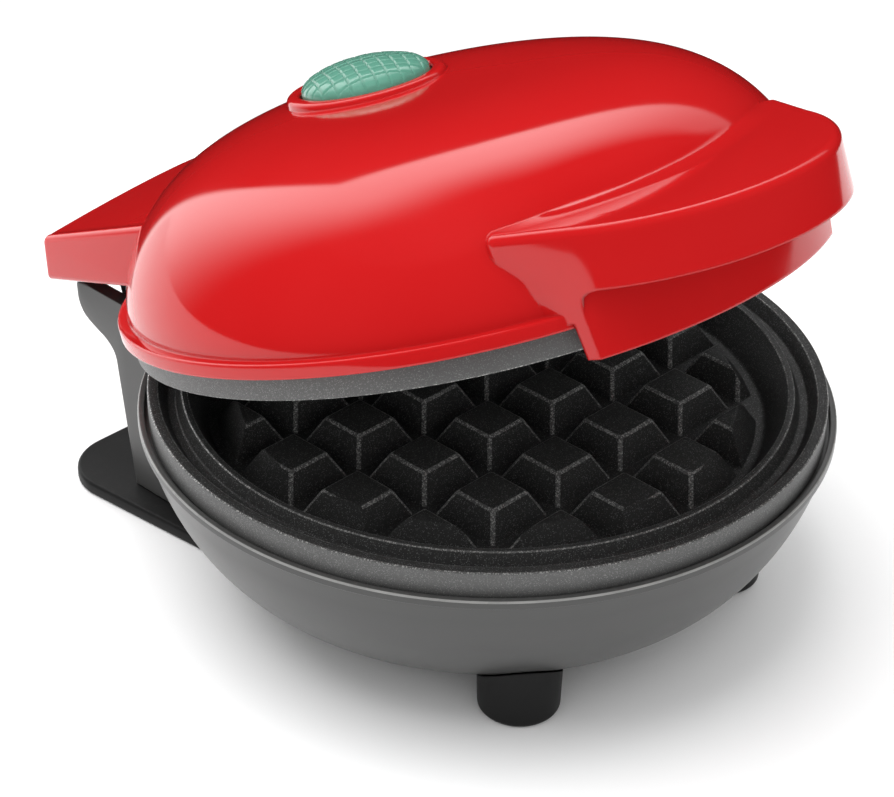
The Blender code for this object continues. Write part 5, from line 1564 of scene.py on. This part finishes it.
    def posts(self) -> tuple[Solid, Solid]:
        """Set out the posts for the heat shield, and every screw hole in the lid.

        Returns:
            The posts and the holes.
        """
        size = COMMON
        foot = size.shield_far + SEAT_GAP
        spots = size.screw_spots(self.post_circle)
        posts = Solid(gathered(*rods(self.post_radius, foot, self.dome_start + self.dome_rise, spots)))
        posts.keep(self.body(self.wall / 2))
        holes = rods(size.screw_bore, size.shield_far - OVERRUN, size.shield_far + self.post_bore_depth,
                     spots)
        holes += rods(size.screw_bore, self.cover_roof - OVERRUN, self.cover_roof + self.arm_bore_depth,
                      both_sides((self.arm_screw_x, size.pivot_y - self.arm_screw_back)))
        return posts, Solid(gathered(*holes))

    def hollow(self) -> Solid:
        """Draw the hollow behind the skirt, inside the handle."""
        outline = self.arc_to_line(self.skirt_radius - self.handle_wall, self.skirt_half - self.handle_wall,
                                   self.post_circle)
        return Solid(drawn(outline, self.dome_start + self.handle_wall / 2,
                           self.handle_top - self.handle_wall))

    def build(self, palette: Palette) -> None:
        """Join and hollow the moulding, hang it on the hinge and give it its gloss."""
        shell = self.body().join(self.handle(), self.ramp(), self.cover(), self.bezel())
        shell.cut(self.space(), self.cover_space(), self.hollow())
        top = self.dome_start + self.dome_rise - self.wall / 2
        socket = rod(self.lens_seat + self.socket_wall, self.bezel_top - self.socket_drop, top,
                     (0, self.lens_y))
        shell.join(Solid(socket)).cut(self.lens_way())
        posts, holes = self.posts()
        shell.join(posts).cut(holes).moved(COMMON.lid_place())
        finished(shell, "lid_moulding", Body.LID, Slot.RED, palette.red, "lid_shell")


@dataclass
class Lens:
    """The faceted mint lens in the lid."""

    y: float = 0.0169
    radius: float = 0.0118
    rim_w: float = 0.0354
    bulge: float = 0.0039
    wall: float = 0.0016
    flange_radius: float = 0.0132
    facet: float = 0.00235
    facet_depth: float = 0.00034
    facet_tilt: float = 0.00004
    groove_share: float = 0.22
    grid_turn: float = math.radians(60)
    tilt_pace: float = 2.4
    cells: int = 170
    margin: float = 0.0003
    skirt: float = 0.003
    trim_low: float = 0.0025
    trim_high: float = 0.006
    seat_drop: float = 0.0016
    flange_height: float = 0.0014
    flange_round: float = 0.0002
    neck_height: float = 0.0008
    neck_inset: float = 0.0002
    hollow_steps: int = 16

    def height(self, x: float, y: float) -> float:
        """Return the height of the faceted top at a spot from the lens's middle."""
        share = min(math.hypot(x, y) / self.radius, 1.0)
        dome = self.rim_w + self.bulge * math.sqrt(max(1 - share * share, 0.0))
        turn, dips, tilt = self.grid_turn, [], 0.0
        for along in (x * math.cos(turn) + y * math.sin(turn), y * math.cos(turn) - x * math.sin(turn)):
            column = math.floor(along / self.facet)
            part = (along / self.facet - column - 0.5) * 2
            dips.append(max(0.0, (abs(part) - 1 + self.groove_share) / self.groove_share))
            tilt += self.facet_tilt * part * math.sin(column * self.tilt_pace + 1)
        return dome - self.facet_depth * max(dips) + tilt

    def faceted(self) -> Solid:
        """Shape the lens's body with its grid of facets on top."""
        skin = bmesh.new()
        bmesh.ops.create_grid(skin, x_segments=self.cells, y_segments=self.cells,
                              size=self.radius + self.margin)
        for vert in skin.verts:
            vert.co.z = self.height(vert.co.x, vert.co.y)
        rims = [edge for edge in skin.edges if edge.is_boundary]
        grown = bmesh.ops.extrude_edge_only(skin, edges=rims)["geom"]
        low = [part for part in grown if isinstance(part, bmesh.types.BMVert)]
        for vert in low:
            vert.co.z = self.rim_w - self.skirt
        bmesh.ops.contextual_create(skin, geom=[edge for edge in skin.edges if edge.is_boundary])
        return Solid(skin)

    def build(self, palette: Palette) -> None:
        """Shape the lens, hollow it, set it under the bezel and tint it."""
        seat = self.rim_w - self.seat_drop - SEAT_GAP
        under, neck, top = seat - self.flange_height, self.radius - self.neck_inset, seat + self.neck_height
        lens = self.faceted().keep(Solid(rod(self.radius, self.rim_w - self.trim_low,
                                             self.rim_w + self.trim_high, steps=MIDDLE_STEPS)))
        flange = spun(filleted([(0, top, 0), (neck, top, 0), (neck, seat, 0),
                                (self.flange_radius, seat, self.flange_round),
                                (self.flange_radius, under, self.flange_round), (0, under, 0)]), MIDDLE_STEPS)
        lens.join(Solid(flange))
        bore = self.radius - self.wall
        swings = [math.pi / 2 * step / self.hollow_steps for step in range(self.hollow_steps + 1)]
        hollow = [(bore * math.sin(swing), self.rim_w + (self.bulge - self.wall) * math.cos(swing))
                  for swing in swings]
        hollow += [(bore, under - OVERRUN), (0, under - OVERRUN)]
        lens.cut(Solid(spun(hollow, MIDDLE_STEPS)))
        lens.moved(COMMON.lid_place() @ Matrix.Translation((0, self.y, 0)))
        finished(lens, "faceted_lens", Body.LID, Slot.MINT, palette.mint, "indicator_lens",
                 crease=math.radians(24))


# Fixings


@dataclass
class PanScrews:
    """Every pan-head screw, with a cross recess in its domed head."""

    shank: float = 0.0016
    crown: float = 0.0006
    slot_half: float = 0.0015
    slot_width: float = 0.0004
    slot_depth: float = 0.0008
    slot_stagger: float = 0.00003
    tip_inset: float = 0.0003
    tip_height: float = 0.0004
    brim_round: float = 0.0001
    side_round: float = 0.0005
    crown_round: float = 0.0006
    crown_share: float = 0.6
    steps: int = 32

    def screw(self, length: float) -> Solid:
        """Shape a screw whose seat is at the origin and whose shank points up.

        Args:
            length: Length of the shank.

        Returns:
            The screw.
        """
        head, rim = COMMON.head_height, COMMON.head_radius
        profile = filleted([(0, length, 0), (self.shank - self.tip_inset, length, 0),
                            (self.shank, length - self.tip_height, 0), (self.shank, 0, 0),
                            (rim, 0, self.brim_round), (rim, -head + self.crown, self.side_round),
                            (rim * self.crown_share, -head, self.crown_round), (0, -head, 0)], steps=4)
        half, thin, deep = self.slot_half, self.slot_width / 2, self.slot_depth - head
        cross = Solid(block((-half, -thin, -head - OVERRUN), (half, thin, deep)))
        cross.join(Solid(block((-thin, -half, -head - 2 * OVERRUN), (thin, half, deep + self.slot_stagger))))
        return Solid(spun(profile, self.steps)).cut(cross)

    def build(self, palette: Palette) -> None:
        """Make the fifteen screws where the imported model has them."""
        rows = [(f"stand_screw_{index}", Body.BASE, False) for index in range(1, 5)]
        rows += [(f"lower_plate_screw_{index}", Body.BASE, False) for index in range(1, 4)]
        rows += [(f"upper_plate_screw_{index}", Body.LID, True) for index in range(1, 4)]
        rows += [(f"upper_shield_screw_{index}", Body.LID, False) for index in range(1, 4)]
        rows += [(f"arm_screw_{side}", Body.LID, False) for side in ("left", "right")]
        flat = COMMON.lid_place()
        for name, body, turned_over in rows:
            frame_place = Matrix.Identity(4) if body is Body.BASE else flat
            spots = [frame_place.inverted() @ vert.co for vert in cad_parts[name].data.vertices]
            ends = [(min(values), max(values)) for values in zip(*spots)]
            x, y = (sum(pair) / 2 for pair in ends[:2])
            low, high = ends[2]
            head = COMMON.head_height
            place = Matrix.Translation((x, y, low + head))
            if turned_over:
                place = Matrix.Translation((x, y, high - head)) @ Matrix.Rotation(math.pi, 4, "X")
            screw = self.screw(high - low - head).moved(frame_place @ place)
            finished(screw, f"{name}_cross", body, Slot.STEEL, palette.steel, name)


@dataclass
class InnerWorks:
    """The CAD nodes that keep their own shape and only get their finish."""

    crease: float = math.radians(35)

    def build(self, palette: Palette) -> None:
        """Dress every kept node."""
        looks = {
            "lower_element": palette.sheath, "upper_element": palette.sheath,
            "lower_heat_shield": palette.sheet, "upper_heat_shield": palette.sheet,
            "thermostat": palette.ceramic, "terminal_block": palette.ceramic, "lamp_holder": palette.ceramic,
            "thermal_fuse": palette.steel, "hinge_pin_left": palette.steel, "hinge_pin_right": palette.steel,
            "element_lead_left": palette.sleeving, "element_lead_right": palette.sleeving,
            "hinge_arm_left": palette.black, "hinge_arm_right": palette.black,
            "indicator_lamp": palette.glass,
        }
        for name, look in looks.items():
            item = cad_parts[name]
            item.data.materials.clear()
            item.data.materials.append(look)
            item.data.shade_smooth()
            item.data.set_sharp_from_angle(angle=self.crease)
            REPORT.info("%s: kept from the packed model, finish %s", name, look.name)


# Studio

BLACK = (0, 0, 0, 1)
WHITE = (1, 1, 1, 1)


def eased(value: float, start: float, end: float) -> float:
    """Return the smooth step from 0 at one value to 1 at the other."""
    share = min(max((value - start) / (end - start), 0.0), 1.0)
    return share * share * (3 - 2 * share)


@dataclass
class CurvedScreen:
    """The pale screen behind and beside the waffle maker, graded over turn and lift (degrees).

    It stands from the floor up at its left, and hangs above the dark of the room at its right.
    """

    level: float = 3.35
    turns: tuple[int, int] = (0, 132)
    lifts: tuple[int, int] = (-30, 76)
    near_edge: float = 76.0
    hem: float = 34.0
    hem_middle: float = 65.0
    hem_blur: float = 0.8
    fade_start: float = 12.0
    least_fade: float = 2.0
    crest: float = 72.0
    crest_drop: float = 32.0
    crest_start: float = 7.0
    crest_run: float = 45.0
    left_fade: Point = (84.0, 129.0)
    right_fade: Point = (5.0, 55.0)
    right_share: float = 0.25
    right_end: Point = (2.0, 8.0)
    low_fade: Point = (-15.0, 40.0)
    low_share: float = 0.55
    reach: float = 1.5
    aim: Place = (0.0, 0.0, 0.08)

    def glow(self, turn: float, lift: float) -> float:
        """Return the brightness of the screen in one direction, as seen from the waffle maker.

        Args:
            turn: Angle from the x axis, in degrees.
            lift: Angle above the level, in degrees.

        Returns:
            Its brightness.
        """
        hem = math.degrees(math.atan(math.tan(math.radians(self.hem))
                                     * math.cos(math.radians(min(turn, self.near_edge) - self.hem_middle))))
        crest = self.crest - self.crest_drop * max(0.0, 1 - (turn - self.crest_start) / self.crest_run) ** 2
        above = eased(lift, hem - self.hem_blur, hem + self.hem_blur)
        beside = eased(turn, self.near_edge - self.hem_blur, self.near_edge + self.hem_blur)
        fade = hem + self.fade_start
        across = 1 - eased(lift, fade, max(crest, fade + self.least_fade))
        left = 1 - eased(turn, *self.left_fade)
        right = self.right_share + (1 - self.right_share) * eased(turn, *self.right_fade)
        low = self.low_share + (1 - self.low_share) * eased(lift, *self.low_fade)
        return self.level * max(above, beside) * across * left * right * eased(turn, *self.right_end) * low

    def build(self) -> None:
        """Bend the screen out of a grid, give each of its points its glow and show it in gloss only."""
        skin = bmesh.new()
        glow = skin.verts.layers.float.new("glow")
        (first, last), (low, high) = self.turns, self.lifts
        bmesh.ops.create_grid(skin, x_segments=last - first, y_segments=high - low, size=1)
        for vert in skin.verts:
            turn = first + (last - first) * (vert.co.x + 1) / 2
            lift = low + (high - low) * (vert.co.y + 1) / 2
            side, rise = math.radians(turn), math.radians(lift)
            way = Vector((math.cos(rise) * math.cos(side), math.cos(rise) * math.sin(side), math.sin(rise)))
            vert.co = Vector(self.aim) + way * self.reach
            vert[glow] = self.glow(turn, lift)
        screen = Solid(skin).item
        screen.name = "curved_screen"
        made, tree, shader = fresh_material("glowing_screen")
        shader.inputs["Base Color"].default_value = BLACK
        shader.inputs["Emission Color"].default_value = WHITE
        value = add_node(tree, "ShaderNodeAttribute", attribute_name="glow")
        tree.links.new(value.outputs["Fac"], shader.inputs["Emission Strength"])
        screen.data.materials.append(made)
        screen.visible_camera = screen.visible_diffuse = screen.visible_transmission = False
        screen.visible_shadow = False


@dataclass
class Studio:
    """Floor, lights and camera."""

    eye: Place = (-0.31416, -0.29176, 0.30472)
    right: Place = (0.6995, -0.7146, 0.01467)
    up: Place = (0.3718, 0.3813, 0.8466)
    lens: float = 111.67
    tent: float = 1.0
    sun: float = 2.0
    backdrop: float = 1.1
    table: tuple[Point, ...] = ((-0.45, -0.07), (-0.22, -0.15), (-0.10, -0.30), (0.50, -0.40), (0.45, -0.05),
                                (0.30, 0.07), (0.10, 0.165), (-0.02, 0.165), (0.28, 1.40), (-0.25, 1.40),
                                (-0.45, 0.30))
    floor_colour: Colour = (0.95, 0.95, 0.952)
    floor_second: Colour = (0.965, 0.965, 0.965)
    floor_cloud: float = 3.0
    floor_roughness: float = 0.55
    sun_way: Place = (0.22, -0.25, -1.0)
    sun_width: float = math.radians(50)
    sensor: float = 36.0
    seen_from: float = 0.01
    seen_to: float = 20.0

    def floor(self) -> None:
        """Lay the pale table top, which ends where the gloss mirrors a dark room."""
        skin = bmesh.new()
        skin.faces.new([skin.verts.new((x, y, 0)) for x, y in self.table])
        floor = Solid(skin).item
        floor.name = "studio_floor"
        made, tree, shader = fresh_material("pale_floor")
        place = add_node(tree, "ShaderNodeTexCoord").outputs["Object"]
        cloud = add_node(tree, "ShaderNodeTexNoise", {"Vector": place, "Scale": self.floor_cloud})
        shade = blended(tree, cloud.outputs["Fac"], self.floor_colour, self.floor_second)
        tree.links.new(shade, shader.inputs["Base Color"])
        shader.inputs["Roughness"].default_value = self.floor_roughness
        floor.data.materials.append(made)

    def lights(self) -> None:
        """Light the tent round the object evenly, and hang the screen that its gloss mirrors."""
        world = bpy.data.worlds.new("studio_tent")
        world.use_nodes = True
        tree = world.node_tree
        seen = add_node(tree, "ShaderNodeMapRange", {
            "Value": add_node(tree, "ShaderNodeLightPath").outputs["Is Camera Ray"],
            "To Min": self.tent, "To Max": self.backdrop})
        tree.nodes["Background"].inputs["Color"].default_value = WHITE
        tree.links.new(seen.outputs["Result"], tree.nodes["Background"].inputs["Strength"])
        world.cycles_visibility.glossy = False
        bpy.context.scene.world = world
        sun = bpy.data.lights.new("even_light", "SUN")
        sun.energy = self.sun
        sun.angle = self.sun_width
        item = stood("even_light", sun)
        item.matrix_world = Vector(self.sun_way).to_track_quat("-Z", "Y").to_matrix().to_4x4()
        item.visible_glossy = False
        CurvedScreen().build()

    def camera(self) -> None:
        """Stand the camera where the photograph was taken from."""
        right = Vector(self.right).normalized()
        back = right.cross(Vector(self.up)).normalized()
        up = back.cross(right)
        data = bpy.data.cameras.new("photo_camera")
        data.lens = self.lens
        data.sensor_width = self.sensor
        data.clip_start, data.clip_end = self.seen_from, self.seen_to
        item = stood("photo_camera", data)
        turn = Matrix((right, up, back)).transposed().to_4x4()
        item.matrix_world = Matrix.Translation(self.eye) @ turn
        bpy.context.scene.camera = item

    def build(self) -> None:
        """Set the camera, floor and lights."""
        bpy.context.scene.view_settings.view_transform = "Standard"
        self.camera()
        self.floor()
        self.lights()


def main() -> None:
    """Build the studio and every piece of the waffle maker, in order."""
    logging.basicConfig(level=logging.INFO, format="%(message)s")
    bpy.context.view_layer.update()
    Studio().build()
    palette = Palette.mixed(Workshop.opened())
    housing = Housing()
    for part in (housing, Stand(housing), WafflePlate(), LidShell(), Lens(), PanScrews(), InnerWorks()):
        part.build(palette)


if __name__ == "__main__":
    main()
